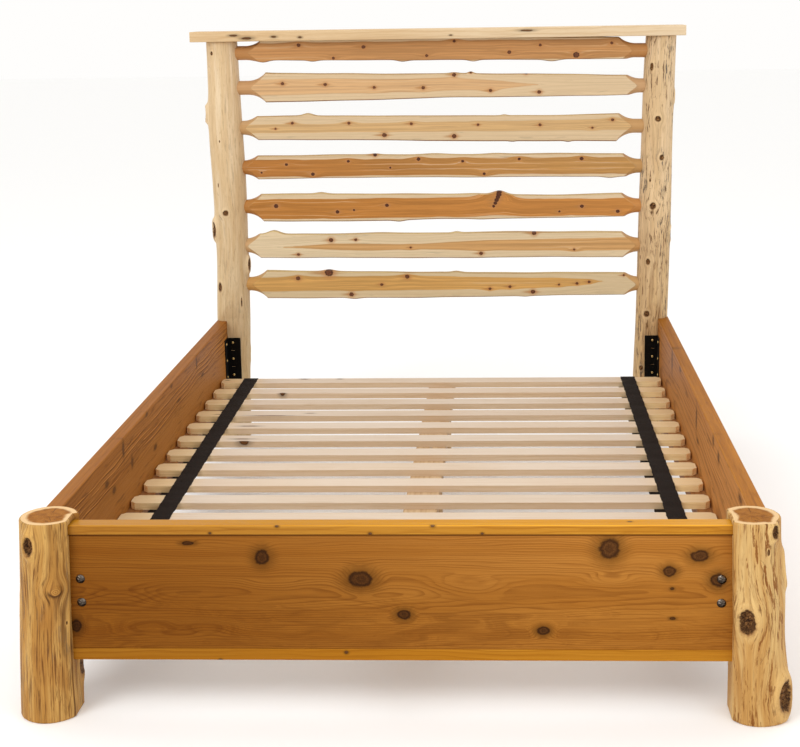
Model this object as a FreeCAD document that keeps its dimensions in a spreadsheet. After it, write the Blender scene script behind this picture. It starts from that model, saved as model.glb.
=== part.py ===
import FreeCAD, Part
import math
import os
import re
import Sketcher
from FreeCAD import Placement, Rotation, Vector

# Rustic log bed for a queen mattress, in millimetres.
# +Z is up and the floor is z = 0. +Y runs from the foot end to the head end, +X is the
# right-hand side seen from the foot. The origin is the middle of the footprint.

doc = FreeCAD.newDocument("log_bed")

# Driving sizes
SIZES = {
    # Mattress and the room round it
    "mattress_width": 1524,
    "mattress_length": 2032,
    "mattress_side_gap": 8,
    "mattress_end_gap": 36,
    # Side rails, sawn boards, and how far below their tops the slat deck lies
    "rail_thickness": 38,
    "rail_depth": 286,
    "rail_top_height": 435,
    "deck_drop": 182,
    "rail_edge_radius": 3,
    # Foot posts, short round logs with a flat towards the panel and a seat for the rail
    "foot_post_diameter": 133,
    "foot_post_rise": 20,
    "foot_flat_inset": 49,
    "foot_flat_distance": 52,
    "foot_seat_distance": 48,
    # Footboard panel and its trims
    "trim_forward": 26,
    "footboard_rise": 7,
    "footboard_drop": 18,
    "top_trim_depth": 41,
    "top_trim_thickness": 20,
    "top_trim_overhang": 6,
    "bottom_trim_height": 26,
    "bottom_trim_overhang": 2,
    "panel_thickness": 25,
    "panel_tongue": 8,
    "groove_clearance": 0.15,
    "trim_edge_radius": 3,
    # Head posts, tall round logs
    "head_post_diameter": 112,
    "head_post_height": 1425,
    "head_seat_distance": 46,
    "head_seat_margin": 22,
    "rabbet_depth": 36,
    "rabbet_clearance": 0.15,
    # Cap board across the head posts
    "cap_overhang": 45,
    "cap_depth": 140,
    "cap_thickness": 35,
    "cap_edge_radius": 4,
    "cap_dowel_diameter": 12,
    "cap_dowel_length": 44,
    "cap_dowel_spacing": 50,
    "cap_dowel_outset": 20,
    # Headboard rails, half logs with round tenons
    "tenon_diameter": 49,
    "tenon_clearance": 0.15,
    "tenon_end_gap": 0.5,
    "tenon_cover": 1.5,
    "cove_radius": 50,
    "half_log_depth": 52,
    "log_count": 7,
    "log_opening": 50,
    "lowest_log_rise": 128,
    "top_log_drop": 41,
    "top_log_closer": 19,
    # Ledgers under the slat ends
    "ledger_width": 41,
    "ledger_depth": 38,
    "ledger_end_gap": 2,
    "ledger_screw_end": 70,
    # Rail brackets, bent black steel angle, and their brass screws
    "bracket_height": 152,
    "bracket_post_leg": 47,
    "bracket_rail_leg": 55,
    "bracket_gauge": 3,
    "bracket_top_drop": 61,
    "bracket_screw_pitch": 59,
    "bracket_screw_inset": 19,
    "bracket_rail_screw_inset": 34,
    "bracket_slot_length": 12,
    "bracket_slot_width": 2.5,
    "bracket_screw_head": 9,
    "bracket_screw_head_height": 2.6,
    "bracket_screw_diameter": 4.2,
    "bracket_screw_length": 30,
    # Panel angles behind the footboard, with coach bolts through the panel
    "angle_height": 110,
    "angle_panel_leg": 44,
    "angle_post_leg": 28,
    "angle_bolt_pitch": 54,
    "angle_bolt_inset": 25,
    "angle_upper_bolt_drop": 124,
    "bolt_diameter": 8,
    "bolt_head_diameter": 19,
    "bolt_head_height": 4.5,
    "bolt_tail": 4,
    "washer_diameter": 20,
    "washer_thickness": 1.6,
    "nut_width": 13,
    "nut_height": 6.5,
    "angle_screw_inset": 18,
    "angle_screw_pitch": 35,
    # Countersunk wood screws of the ledgers and the centre beam
    "wood_screw_head": 9,
    "wood_screw_head_height": 4.2,
    "wood_screw_diameter": 5,
    "ledger_screw_length": 62,
    "ledger_screw_count": 6,
    "cleat_screw_length": 56,
    "beam_screw_length": 80,
    "screw_point": 8,
    "screw_hole_clearance": 0.2,
    # Centre beam, its legs, glides and cleat
    "beam_width": 89,
    "beam_depth": 38,
    "beam_offset": 6,
    "beam_head_gap": 54,
    "leg_width": 60,
    "glide_diameter": 32,
    "glide_height": 8,
    "glide_stem_diameter": 5,
    "glide_stem_length": 18,
    "beam_screw_spacing": 30,
    "cleat_depth": 38,
    "cleat_height": 38,
    "cleat_screw_spacing": 59,
    "cleat_top_screw_spacing": 15,
    "cleat_top_screw_length": 60,
    # Slat roll
    "slat_count": 14,
    "slat_width": 63.5,
    "slat_thickness": 19,
    "slat_side_gap": 5,
    "slat_corner": 13,
    "slat_edge_radius": 1.5,
    "deck_head_gap": 120,
    "deck_foot_gap": 62,
    "strap_width": 50,
    "strap_thickness": 1.6,
    "left_strap_head_inset": 92,
    "left_strap_foot_inset": 124,
    "right_strap_head_inset": 112,
    "right_strap_foot_inset": 102,
    "under_strap_left_inset": 76,
    "under_strap_right_inset": 122,
    "staple_crown": 11,
    "staple_wire": 0.9,
    "staple_leg": 9,
    "staple_spacing": 26,
    # How far every cutting solid runs past what it cuts
    "overrun": 20,
}

sheet = doc.addObject("Spreadsheet::Sheet", "Sizes")
for row, (alias, number) in enumerate(SIZES.items(), start=1):
    sheet.set(f"A{row}", alias)
    sheet.set(f"B{row}", str(number))
    sheet.setAlias(f"B{row}", alias)

# Places worked out from the driving sizes
FORMULAS = {
    "rail_inner_x": "mattress_width / 2 + mattress_side_gap",
    "rail_outer_x": "rail_inner_x + rail_thickness",
    "rail_bottom_z": "rail_top_height - rail_depth",
    "deck_height": "rail_top_height - deck_drop",
    "foot_post_height": "rail_top_height + foot_post_rise",
    "footboard_height": "rail_top_height + footboard_rise",
    "footboard_clearance": "rail_bottom_z - footboard_drop",
    "cap_length": "2 * (rail_outer_x + cap_overhang)",
    "foot_post_radius": "foot_post_diameter / 2",
    "head_post_radius": "head_post_diameter / 2",
    "seat_span": "mattress_length + mattress_end_gap",
    "post_span": "foot_seat_distance + seat_span + head_seat_distance",
    "footprint": "foot_post_radius + post_span + cap_depth / 2",
    "foot_post_y": "foot_post_radius - footprint / 2",
    "foot_seat_y": "foot_post_y + foot_seat_distance",
    "head_seat_y": "foot_seat_y + seat_span",
    "head_post_y": "head_seat_y + head_seat_distance",
    "rail_head_y": "head_seat_y + rabbet_depth",
    "rail_length": "rail_head_y - foot_seat_y",
    "foot_flat_x": "rail_inner_x - foot_flat_inset",
    "foot_post_x": "foot_flat_x + foot_flat_distance",
    "head_post_x": "rail_outer_x - head_post_radius",
    "panel_span": "foot_flat_x * 2",
    "trim_front_y": "foot_post_y - trim_forward",
    "panel_front_y": "trim_front_y + top_trim_overhang",
    "panel_rear_y": "panel_front_y + panel_thickness",
    "bottom_trim_y": "panel_front_y - bottom_trim_overhang",
    "bottom_trim_depth": "panel_thickness + bottom_trim_overhang",
    "top_trim_z": "footboard_height - top_trim_thickness",
    "panel_bottom_z": "footboard_clearance + bottom_trim_height - panel_tongue",
    "panel_top_z": "top_trim_z + panel_tongue",
    "tenon_radius": "tenon_diameter / 2",
    "log_face_y": "head_post_y - tenon_radius - tenon_cover",
    "log_shoulder_x": "head_post_x - head_post_radius",
    "lowest_log_z": "rail_top_height + lowest_log_rise",
    "top_log_z": "head_post_height - top_log_drop",
    "log_pitch": "(top_log_z - lowest_log_z + top_log_closer) / (log_count - 1)",
    "half_log_width": "log_pitch - log_opening",
    "slat_under_z": "deck_height - slat_thickness",
    "ledger_inner_x": "rail_inner_x - ledger_width",
    "ledger_z": "slat_under_z - ledger_depth",
    "ledger_setback": "bracket_rail_leg + ledger_end_gap",
    "ledger_length": "seat_span - 2 * ledger_setback",
    "ledger_y": "foot_seat_y + ledger_setback",
    "bracket_middle_z": "rail_top_height - bracket_top_drop - bracket_height / 2",
    "bolt_x": "foot_flat_x - angle_bolt_inset",
    "bolt_upper_z": "footboard_height - angle_upper_bolt_drop",
    "bolt_lower_z": "bolt_upper_z - angle_bolt_pitch",
    "angle_middle_z": "(bolt_upper_z + bolt_lower_z) / 2",
    "beam_under_z": "slat_under_z - beam_depth",
    "beam_head_y": "head_seat_y - beam_head_gap",
    "beam_length": "beam_head_y - panel_rear_y",
    "leg_length": "beam_under_z - glide_height",
    "slat_length": "2 * (rail_inner_x - slat_side_gap)",
    "deck_head_y": "head_seat_y - deck_head_gap",
    "deck_foot_y": "foot_seat_y + deck_foot_gap",
    "slat_pitch": "(deck_head_y - deck_foot_y - slat_width) / (slat_count - 1)",
    "slat_end_x": "slat_length / 2",
}

places = doc.addObject("App::VarSet", "Places")


def spelled(formula):
    """The formula with every named size and place written as the document reads it."""

    def owner(word):
        name = word.group(0)
        return f"Sizes.{name}" if name in SIZES else f"Places.{name}"

    return re.sub(r"[a-z][a-z_]+", owner, formula)


for name, formula in FORMULAS.items():
    places.addProperty("App::PropertyFloat", name, "Places")
    places.setExpression(name, spelled(formula))
doc.recompute()


def size(name):
    """The number behind a named size or place."""
    if name in SIZES:
        return float(sheet.get(name))
    return getattr(places, name)


def bind(item, **formulas):
    """Ties properties of a document object to named sizes."""
    for key, formula in formulas.items():
        item.setExpression(key, spelled(formula))


def stand(item, at_x, at_y, at_z):
    """Ties the position of a document object to named sizes."""
    for axis, formula in (("x", at_x), ("y", at_y), ("z", at_z)):
        if formula != "0":
            item.setExpression(f"Placement.Base.{axis}", spelled(formula))


NODES = []


def node(item, label):
    """Names an object as one finished piece of the bed."""
    item.Label = label
    NODES.append(item)
    return item


UP = Vector(0, 0, 1)
ALONG_X = Vector(1, 0, 0)
ALONG_Y = Vector(0, 1, 0)
SIDES = (("left", -1), ("right", 1))


def plane_of(body, role):
    """One of the body's own origin planes."""
    return next(plane for plane in body.Origin.OriginFeatures if plane.Role == role)


def sketch_on(body, role, name):
    sketch = body.newObject("Sketcher::SketchObject", name)
    sketch.AttachmentSupport = [(plane_of(body, role), "")]
    sketch.MapMode = "FlatFace"
    return sketch


def outline(sketch, corners):
    """A closed outline of straight lines whose corners are pairs of formulas."""
    rough = [Vector(index, index * index, 0) for index in range(len(corners))]
    for index in range(len(corners)):
        sketch.addGeometry(Part.LineSegment(rough[index], rough[(index + 1) % len(corners)]))
    for index in range(len(corners)):
        following = (index + 1) % len(corners)
        sketch.addConstraint(Sketcher.Constraint("Coincident", index, 2, following, 1))
    for index, (across, upward) in enumerate(corners):
        for kind, letter, formula in (("DistanceX", "x", across), ("DistanceY", "y", upward)):
            if formula == "0":
                axis = -2 if letter == "x" else -1
                sketch.addConstraint(Sketcher.Constraint("PointOnObject", index, 1, axis))
            else:
                place = sketch.addConstraint(Sketcher.Constraint(kind, -1, 1, index, 1, 1 + index))
                sketch.renameConstraint(place, f"{letter}{index}")
                sketch.setExpression(f"Constraints.{letter}{index}", spelled(formula))


def hole_circle(sketch, index, across, upward, diameter):
    """A circle for a hole, its centre and diameter tied to formulas."""
    sketch.addGeometry(Part.Circle(Vector(1, 1 + index, 0), UP, 1))
    for kind, letter, formula in (("DistanceX", "x", across), ("DistanceY", "y", upward)):
        if formula == "0":
            sketch.addConstraint(Sketcher.Constraint("PointOnObject", index, 3, -1))
        else:
            place = sketch.addConstraint(Sketcher.Constraint(kind, -1, 1, index, 3, 1))
            sketch.renameConstraint(place, f"{letter}{index}")
            sketch.setExpression(f"Constraints.{letter}{index}", spelled(formula))
    wide = sketch.addConstraint(Sketcher.Constraint("Diameter", index, 1))
    sketch.renameConstraint(wide, f"wide{index}")
    sketch.setExpression(f"Constraints.wide{index}", spelled(diameter))


def through(body, sketch):
    """Cuts a sketch right through the body, both ways."""
    before = body.Shape.Volume
    pocket = body.newObject("PartDesign::Pocket", "Opening")
    pocket.Profile = sketch
    pocket.Type = "ThroughAll"
    pocket.SideType = "Symmetric"
    doc.recompute()
    if not pocket.Shape.Volume < before:
        raise RuntimeError(f"{body.Name}: the opening cuts nothing")


def edges_along(shape, axis, above=None):
    """Names of the straight edges along an axis, all of them or those above a height."""
    names = []
    for number, edge in enumerate(shape.Edges, start=1):
        way = edge.Vertexes[-1].Point - edge.Vertexes[0].Point
        if edge.Curve.TypeId == "Part::GeomLine" and abs(way.normalize().dot(axis)) > 0.999:
            if above is None or edge.Vertexes[0].Point.z > above:
                names.append(f"Edge{number}")
    return names


def board(name, wide, deep, high, at, eased="0", axis=ALONG_Y, top_only=False):
    """A sawn board standing on its lower left front corner, with eased long edges."""
    body = doc.addObject("PartDesign::Body", name)
    sketch = sketch_on(body, "XY_Plane", f"{name}_section")
    outline(sketch, [("0", "0"), (wide, "0"), (wide, deep), ("0", deep)])
    pad = body.newObject("PartDesign::Pad", f"{name}_pad")
    pad.Profile = sketch
    bind(pad, Length=high)
    doc.recompute()
    if eased != "0":
        above = pad.Shape.BoundBox.Center.z if top_only else None
        fillet = body.newObject("PartDesign::Fillet", f"{name}_eased")
        fillet.Base = (pad, edges_along(pad.Shape, axis, above))
        bind(fillet, Radius=eased)
    stand(body, *at)
    return body


def bent_angle(name, leg_x, leg_y, gauge, height, holes_x, holes_y, slots=()):
    """A steel angle centred on its own origin, with a leg along X and a leg along Y.

    holes_x are in the leg along X, holes_y in the leg along Y, as (inset, height, diameter).
    """
    body = doc.addObject("PartDesign::Body", name)
    sketch = sketch_on(body, "XY_Plane", f"{name}_section")
    corners = [("0", "0"), (leg_x, "0"), (leg_x, gauge), (gauge, gauge), (gauge, leg_y), ("0", leg_y)]
    outline(sketch, corners)
    sketch.setExpression("AttachmentOffset.Base.z", spelled(f"-({height}) / 2"))
    pad = body.newObject("PartDesign::Pad", f"{name}_pad")
    pad.Profile = sketch
    bind(pad, Length=height)
    doc.recompute()
    for role, holes in (("XZ_Plane", holes_x), ("YZ_Plane", holes_y)):
        drilled = sketch_on(body, role, f"{name}_holes_{role[:2]}")
        for index, (inset, upward, diameter) in enumerate(holes):
            hole_circle(drilled, index, inset, upward, diameter)
        doc.recompute()
        through(body, drilled)
    for index, (inset, upward, length, width) in enumerate(slots):
        slotted = sketch_on(body, "XZ_Plane", f"{name}_slot_{index}")
        low, high = f"{upward} - {width} / 2", f"{upward} + {width} / 2"
        near, far = f"{inset} - {length} / 2", f"{inset} + {length} / 2"
        outline(slotted, [(near, low), (far, low), (far, high), (near, high)])
        doc.recompute()
        through(body, slotted)
    return body


def cut(name, base, *tools):
    """The base with the room of other pieces taken out of it."""
    group = tools[0]
    if len(tools) > 1:
        group = doc.addObject("Part::Compound", f"{name}_room")
        group.Links = list(tools)
    result = doc.addObject("Part::Cut", name)
    result.Base = base
    result.Tool = group
    return result


def solid(name, shape):
    feature = doc.addObject("Part::Feature", name)
    feature.Shape = shape
    return feature


def group_of(name, shapes):
    """Like pieces in one node, each a solid of its own."""
    return solid(name, Part.makeCompound(shapes))


def turned(points):
    """A solid turned about Z from an outline of points and three-point arcs in XZ."""
    edges = []
    for start, end in zip(points, points[1:]):
        finish = Vector(end[0], 0, end[1])
        if len(end) == 4:
            middle = Vector(end[2], 0, end[3])
            edges.append(Part.Arc(Vector(start[0], 0, start[1]), middle, finish).toShape())
        else:
            edges.append(Part.makeLine(Vector(start[0], 0, start[1]), finish))
    return Part.Face(Part.Wire(edges)).revolve(Vector(0, 0, 0), UP, 360)


def domed(head_radius, head_height, shank_radius, length, point):
    """A screw or bolt with a domed head above z = 0 and its shank below."""
    crown = (head_radius**2 + head_height**2) / (2 * head_height)
    half_turn = math.asin(head_radius / crown) / 2
    middle = (crown * math.sin(half_turn), head_height - crown + crown * math.cos(half_turn))
    return turned(
        [
            (0, head_height),
            (head_radius, 0, *middle),
            (shank_radius, 0),
            (shank_radius, point - length),
            (0, -length),
            (0, head_height),
        ]
    )


def countersunk(head_radius, head_height, shank_radius, length, point):
    """A wood screw whose flat head lies flush with z = 0."""
    return turned(
        [
            (0, 0),
            (head_radius, 0),
            (shank_radius, -head_height),
            (shank_radius, point - length),
            (0, -length),
            (0, 0),
        ]
    )


def facing(shape, at, way):
    """A copy of a fastener with its head at a place, facing the given way."""
    placed = shape.copy()
    placed.Placement = Placement(at, Rotation(UP, way))
    return placed


def wood_screw(length):
    return countersunk(
        size("wood_screw_head") / 2,
        size("wood_screw_head_height"),
        size("wood_screw_diameter") / 2,
        length,
        size("screw_point"),
    )


OVER = size("overrun")

# Round logs
# Each log is given at a few heights as shares: height of the whole, radius of the nominal
# radius, and lean to the bed's outside and to its head end as shares of the radius.
LEFT_FOOT_LOG_SHARES = (
    (0.0, 1.015, 0.045, 0.0),
    (0.2, 1.0, 0.03, 0.0),
    (0.42, 0.985, 0.0, 0.01),
    (0.62, 1.0, -0.01, 0.0),
    (0.82, 0.975, -0.05, -0.01),
    (1.0, 0.96, -0.07, 0.0),
)
RIGHT_FOOT_LOG_SHARES = (
    (0.0, 1.02, 0.06, 0.02),
    (0.18, 1.01, 0.05, 0.02),
    (0.4, 0.98, 0.01, 0.01),
    (0.6, 1.0, 0.02, 0.0),
    (0.8, 0.975, -0.03, 0.0),
    (1.0, 0.95, -0.07, 0.0),
)
LEFT_HEAD_LOG_SHARES = (
    (0.0, 1.0, 0.16, 0.0),
    (0.15, 1.0, 0.11, 0.0),
    (0.3, 1.04, 0.0, 0.0),
    (0.5, 0.99, -0.11, 0.01),
    (0.65, 1.04, -0.08, 0.0),
    (0.77, 1.05, 0.0, -0.01),
    (0.88, 0.98, 0.01, 0.0),
    (1.0, 0.95, 0.04, 0.0),
)
RIGHT_HEAD_LOG_SHARES = (
    (0.0, 1.05, -0.16, 0.0),
    (0.15, 1.05, -0.12, 0.0),
    (0.3, 1.0, -0.03, 0.0),
    (0.45, 1.0, 0.05, 0.01),
    (0.6, 1.0, 0.13, 0.0),
    (0.75, 0.965, 0.2, -0.01),
    (0.9, 0.96, 0.3, 0.0),
    (1.0, 0.93, 0.4, 0.0),
)
# Knots that stand out of a log: height share, bearing in degrees from the bed's outside
# towards its head end, knot radius and how far it stands proud as shares of the log radius.
LEFT_FOOT_KNOT_SHARES = ((0.87, -35, 0.3, 0.05), (0.65, -100, 0.26, 0.07), (0.36, -20, 0.5, 0.05))
RIGHT_FOOT_KNOT_SHARES = (
    (0.95, -35, 0.3, 0.12),
    (0.73, -12, 0.42, 0.09),
    (0.5, -118, 0.52, 0.06),
    (0.16, -20, 0.5, 0.12),
)
LEFT_HEAD_KNOT_SHARES = ((0.82, -10, 0.22, 0.06), (0.2, -160, 0.3, 0.04))
RIGHT_HEAD_KNOT_SHARES = ((0.86, -10, 0.26, 0.07), (0.63, -150, 0.24, 0.05))
INNER_KNOT_SHARE = (0.17, 0.42, 0.34, 0.6)


def round_log(side, at_x, at_y, radius, height, log_shares, knot_shares):
    """A natural log that tapers and bends a little, with its knots."""
    rings = []
    for height_share, radius_share, out_share, head_share in log_shares:
        middle = Vector(
            side * (at_x + out_share * radius),
            at_y + head_share * radius,
            height_share * height,
        )
        rings.append(Part.Wire([Part.Circle(middle, UP, radius_share * radius).toShape()]))
    log = Part.makeLoft(rings, True, False)
    for height_share, bearing, knot_share, proud_share in knot_shares:
        out = next(row for row in log_shares[::-1] if row[0] <= height_share)
        reach = radius * (out[1] + proud_share - knot_share)
        turn = math.radians(bearing)
        middle = Vector(
            side * (at_x + out[2] * radius + reach * math.cos(turn)),
            at_y + reach * math.sin(turn),
            height_share * height,
        )
        log = log.fuse(Part.makeSphere(knot_share * radius, middle))
    spread = at_x + 2 * radius + OVER
    above = block((-spread, at_y - spread, height), (spread, at_y + spread, height + spread))
    return log.cut(above)


def block(low, high):
    """A box between two corners."""
    corner = Vector(*(min(pair) for pair in zip(low, high)))
    return Part.makeBox(*(abs(b - a) for a, b in zip(low, high)), corner)


RAIL_IN = size("rail_inner_x")
RAIL_OUT = size("rail_outer_x")
RAIL_LOW = size("rail_bottom_z")
RAIL_TOP = size("rail_top_height")
FOOT_SEAT_Y = size("foot_seat_y")
HEAD_SEAT_Y = size("head_seat_y")
FOOT_POST_Y = size("foot_post_y")
HEAD_POST_Y = size("head_post_y")
FOOT_R = size("foot_post_radius")
HEAD_R = size("head_post_radius")

# Rail brackets and their brass screws
# One bent steel angle at each rail end: its short leg lies on the post's seat, its long leg
# on the rail's inner face.
BRACKET_GAUGE = size("bracket_gauge")
BRACKET_Z = size("bracket_middle_z")
bracket_screw = domed(
    size("bracket_screw_head") / 2,
    size("bracket_screw_head_height"),
    size("bracket_screw_diameter") / 2,
    size("bracket_screw_length"),
    size("screw_point"),
)
screws = []
for end, seat_y, inward in (("foot", FOOT_SEAT_Y, 1), ("head", HEAD_SEAT_Y, -1)):
    for side_name, side in SIDES:
        pitch = "bracket_screw_pitch"
        hole = "bracket_screw_diameter + screw_hole_clearance"
        heights = ("0", pitch, f"-{pitch}")
        bracket = bent_angle(
            f"bracket_{end}_{side_name}",
            "bracket_post_leg",
            "bracket_rail_leg",
            "bracket_gauge",
            "bracket_height",
            [("bracket_screw_inset", up, hole) for up in heights],
            [("bracket_rail_screw_inset", up, hole) for up in heights],
            [
                ("bracket_screw_inset", f"{sign}{pitch} / 2", "bracket_slot_length", "bracket_slot_width")
                for sign in ("", "-")
            ],
        )
        seat = "foot_seat_y" if end == "foot" else "head_seat_y"
        stand(bracket, f"{side} * rail_inner_x", seat, "bracket_middle_z")
        turn_axis, degrees = {
            (-1, 1): (UP, 0),
            (1, -1): (UP, 180),
            (-1, -1): (ALONG_X, 180),
            (1, 1): (ALONG_Y, 180),
        }[side, inward]
        bracket.Placement.Rotation = Rotation(turn_axis, degrees)
        node(bracket, f"bracket_{end}_{side_name}")
        for step in (-1, 0, 1):
            up = BRACKET_Z + step * size("bracket_screw_pitch")
            post_x = side * (RAIL_IN - size("bracket_screw_inset"))
            on_post = Vector(post_x, seat_y + inward * BRACKET_GAUGE, up)
            screws.append(facing(bracket_screw, on_post, Vector(0, inward, 0)))
            rail_y = seat_y + inward * size("bracket_rail_screw_inset")
            on_rail = Vector(side * (RAIL_IN - BRACKET_GAUGE), rail_y, up)
            screws.append(facing(bracket_screw, on_rail, Vector(-side, 0, 0)))
bracket_screws = node(group_of("bracket_screws", screws), "bracket_screws")

# Ledgers
# A strip screwed along the inner face of each rail; the slat ends lie on it.
ledger_screw = wood_screw(size("ledger_screw_length"))
LEDGER_IN = size("ledger_inner_x")
LEDGER_SPAN = size("ledger_length") - 2 * size("ledger_screw_end")
LEDGER_SCREWS = int(size("ledger_screw_count"))
fixings = []
for side_name, side in SIDES:
    for index in range(LEDGER_SCREWS):
        along = size("ledger_y") + size("ledger_screw_end") + LEDGER_SPAN * index / (LEDGER_SCREWS - 1)
        at = Vector(side * LEDGER_IN, along, size("ledger_z") + size("ledger_depth") / 2)
        fixings.append(facing(ledger_screw, at, Vector(-side, 0, 0)))
ledger_screws = node(group_of("ledger_screws", fixings), "ledger_screws")
for side_name, side in SIDES:
    corner_x = "ledger_inner_x" if side > 0 else "-rail_inner_x"
    strip = board(
        f"ledger_{side_name}_strip",
        "ledger_width",
        "ledger_length",
        "ledger_depth",
        (corner_x, "ledger_y", "ledger_z"),
    )
    node(cut(f"ledger_{side_name}", strip, ledger_screws), f"ledger_{side_name}")

# Side rails
# Wide sawn boards. The foot end butts on the foot post's seat, the head end is let into a
# rabbet in the head post.
for side_name, side in SIDES:
    corner_x = "rail_inner_x" if side > 0 else "-rail_outer_x"
    plank = board(
        f"side_rail_{side_name}_board",
        "rail_thickness",
        "rail_length",
        "rail_depth",
        (corner_x, "foot_seat_y", "rail_bottom_z"),
        "rail_edge_radius",
    )
    drilled = cut(f"side_rail_{side_name}", plank, bracket_screws, ledger_screws)
    node(drilled, f"side_rail_{side_name}")

# Angles and coach bolts behind the footboard
# The angle's long leg is bolted through the panel, its short leg is screwed to the flat of
# the post.
ANGLE_Z = size("angle_middle_z")
PANEL_FRONT = size("panel_front_y")
PANEL_REAR = size("panel_rear_y")
GAUGE = size("bracket_gauge")
BOLT_R = size("bolt_diameter") / 2
bolt_stack = size("panel_thickness") + GAUGE + size("washer_thickness") + size("nut_height")
coach_bolt = domed(
    size("bolt_head_diameter") / 2,
    size("bolt_head_height"),
    BOLT_R,
    bolt_stack + size("bolt_tail"),
    0,
)
nut_corner = Vector(size("nut_width") / math.sqrt(3), 0, 0)
nut_outline = Part.makePolygon([Rotation(UP, 60 * turn).multVec(nut_corner) for turn in range(7)])
nut = Part.Face(nut_outline).extrude(Vector(0, 0, size("nut_height")))
washer = Part.makeCylinder(size("washer_diameter") / 2, size("washer_thickness"))
core = Part.makeCylinder(BOLT_R, bolt_stack)
nut = nut.cut(core)
washer = washer.cut(core)
bolts = []
nuts = []
angle_screws_made = []
for side_name, side in SIDES:
    hole = "bracket_screw_diameter + screw_hole_clearance"
    bolt_hole = "bolt_diameter + screw_hole_clearance"
    angle = bent_angle(
        f"panel_angle_{side_name}",
        "angle_panel_leg",
        "angle_post_leg",
        "bracket_gauge",
        "angle_height",
        [("angle_bolt_inset", f"{sign}angle_bolt_pitch / 2", bolt_hole) for sign in ("", "-")],
        [("angle_screw_inset", up, hole) for up in ("0", "angle_screw_pitch", "-angle_screw_pitch")],
    )
    stand(angle, f"{side} * foot_flat_x", "panel_rear_y", "angle_middle_z")
    if side > 0:
        angle.Placement.Rotation = Rotation(ALONG_Y, 180)
    node(angle, f"panel_angle_{side_name}")
    for up in (size("bolt_upper_z"), size("bolt_lower_z")):
        bolt_x = side * size("bolt_x")
        bolts.append(facing(coach_bolt, Vector(bolt_x, PANEL_FRONT, up), -ALONG_Y))
        nuts.append(facing(washer, Vector(bolt_x, PANEL_REAR + GAUGE, up), ALONG_Y))
        nut_y = PANEL_REAR + GAUGE + size("washer_thickness")
        nuts.append(facing(nut, Vector(bolt_x, nut_y, up), ALONG_Y))
    for step in (-1, 0, 1):
        up = ANGLE_Z + step * size("angle_screw_pitch")
        at = Vector(side * (size("foot_flat_x") - GAUGE), PANEL_REAR + size("angle_screw_inset"), up)
        angle_screws_made.append(facing(bracket_screw, at, Vector(-side, 0, 0)))
panel_bolts = node(group_of("panel_bolts", bolts), "panel_bolts")
node(group_of("panel_nuts", nuts), "panel_nuts")
angle_screws = node(group_of("panel_angle_screws", angle_screws_made), "panel_angle_screws")

# Screws of the centre beam
# Two hold each leg and the cleat up to the beam, two more fix the cleat to the panel.
BEAM_X = size("beam_offset")
CLEAT_REAR = PANEL_REAR + size("cleat_depth")
CLEAT_MIDDLE_Y = PANEL_REAR + size("cleat_depth") / 2
CLEAT_MIDDLE_Z = size("beam_under_z") - size("cleat_height") / 2
LEG_PLACE_SHARES = (0.24, 0.6, 0.95)
beam_screw = wood_screw(size("beam_screw_length"))
cleat_top_screw = wood_screw(size("cleat_top_screw_length"))
cleat_screw = wood_screw(size("cleat_screw_length"))
leg_places = [PANEL_REAR + share * size("beam_length") for share in LEG_PLACE_SHARES]
fixings = []
for step in (-0.5, 0.5):
    for along in leg_places:
        at = Vector(BEAM_X, along + step * size("beam_screw_spacing"), size("slat_under_z"))
        fixings.append(facing(beam_screw, at, UP))
    top_x = BEAM_X + step * size("cleat_top_screw_spacing")
    fixings.append(facing(cleat_top_screw, Vector(top_x, CLEAT_MIDDLE_Y, size("slat_under_z")), UP))
    cleat_x = BEAM_X + step * size("cleat_screw_spacing")
    fixings.append(facing(cleat_screw, Vector(cleat_x, CLEAT_REAR, CLEAT_MIDDLE_Z), ALONG_Y))
beam_screws = node(group_of("beam_screws", fixings), "beam_screws")

# Footboard
# A wide cedar panel whose top and bottom edges sit in grooves of two trims; all three end
# on the flats of the foot posts.
top_trim_board = board(
    "foot_top_trim_board",
    "panel_span",
    "top_trim_depth",
    "top_trim_thickness",
    ("-foot_flat_x", "trim_front_y", "top_trim_z"),
    "trim_edge_radius",
    ALONG_X,
    True,
)
bottom_trim_board = board(
    "foot_bottom_trim_board",
    "panel_span",
    "bottom_trim_depth",
    "bottom_trim_height",
    ("-foot_flat_x", "bottom_trim_y", "footboard_clearance"),
    "trim_edge_radius / 2",
    ALONG_X,
)
panel_board = board(
    "foot_panel_board",
    "panel_span",
    "panel_thickness",
    "panel_top_z - panel_bottom_z",
    ("-foot_flat_x", "panel_front_y", "panel_bottom_z"),
)
groove = doc.addObject("Part::Box", "panel_groove")
bind(
    groove,
    Length="panel_span + 2 * overrun",
    Width="panel_thickness + 2 * groove_clearance",
    Height="panel_top_z - panel_bottom_z",
)
stand(groove, "-foot_flat_x - overrun", "panel_front_y - groove_clearance", "panel_bottom_z")
node(cut("foot_top_trim", top_trim_board, groove), "foot_top_trim")
node(cut("foot_bottom_trim", bottom_trim_board, groove, beam_screws), "foot_bottom_trim")
node(cut("foot_panel", panel_board, panel_bolts, beam_screws), "foot_panel")

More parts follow.
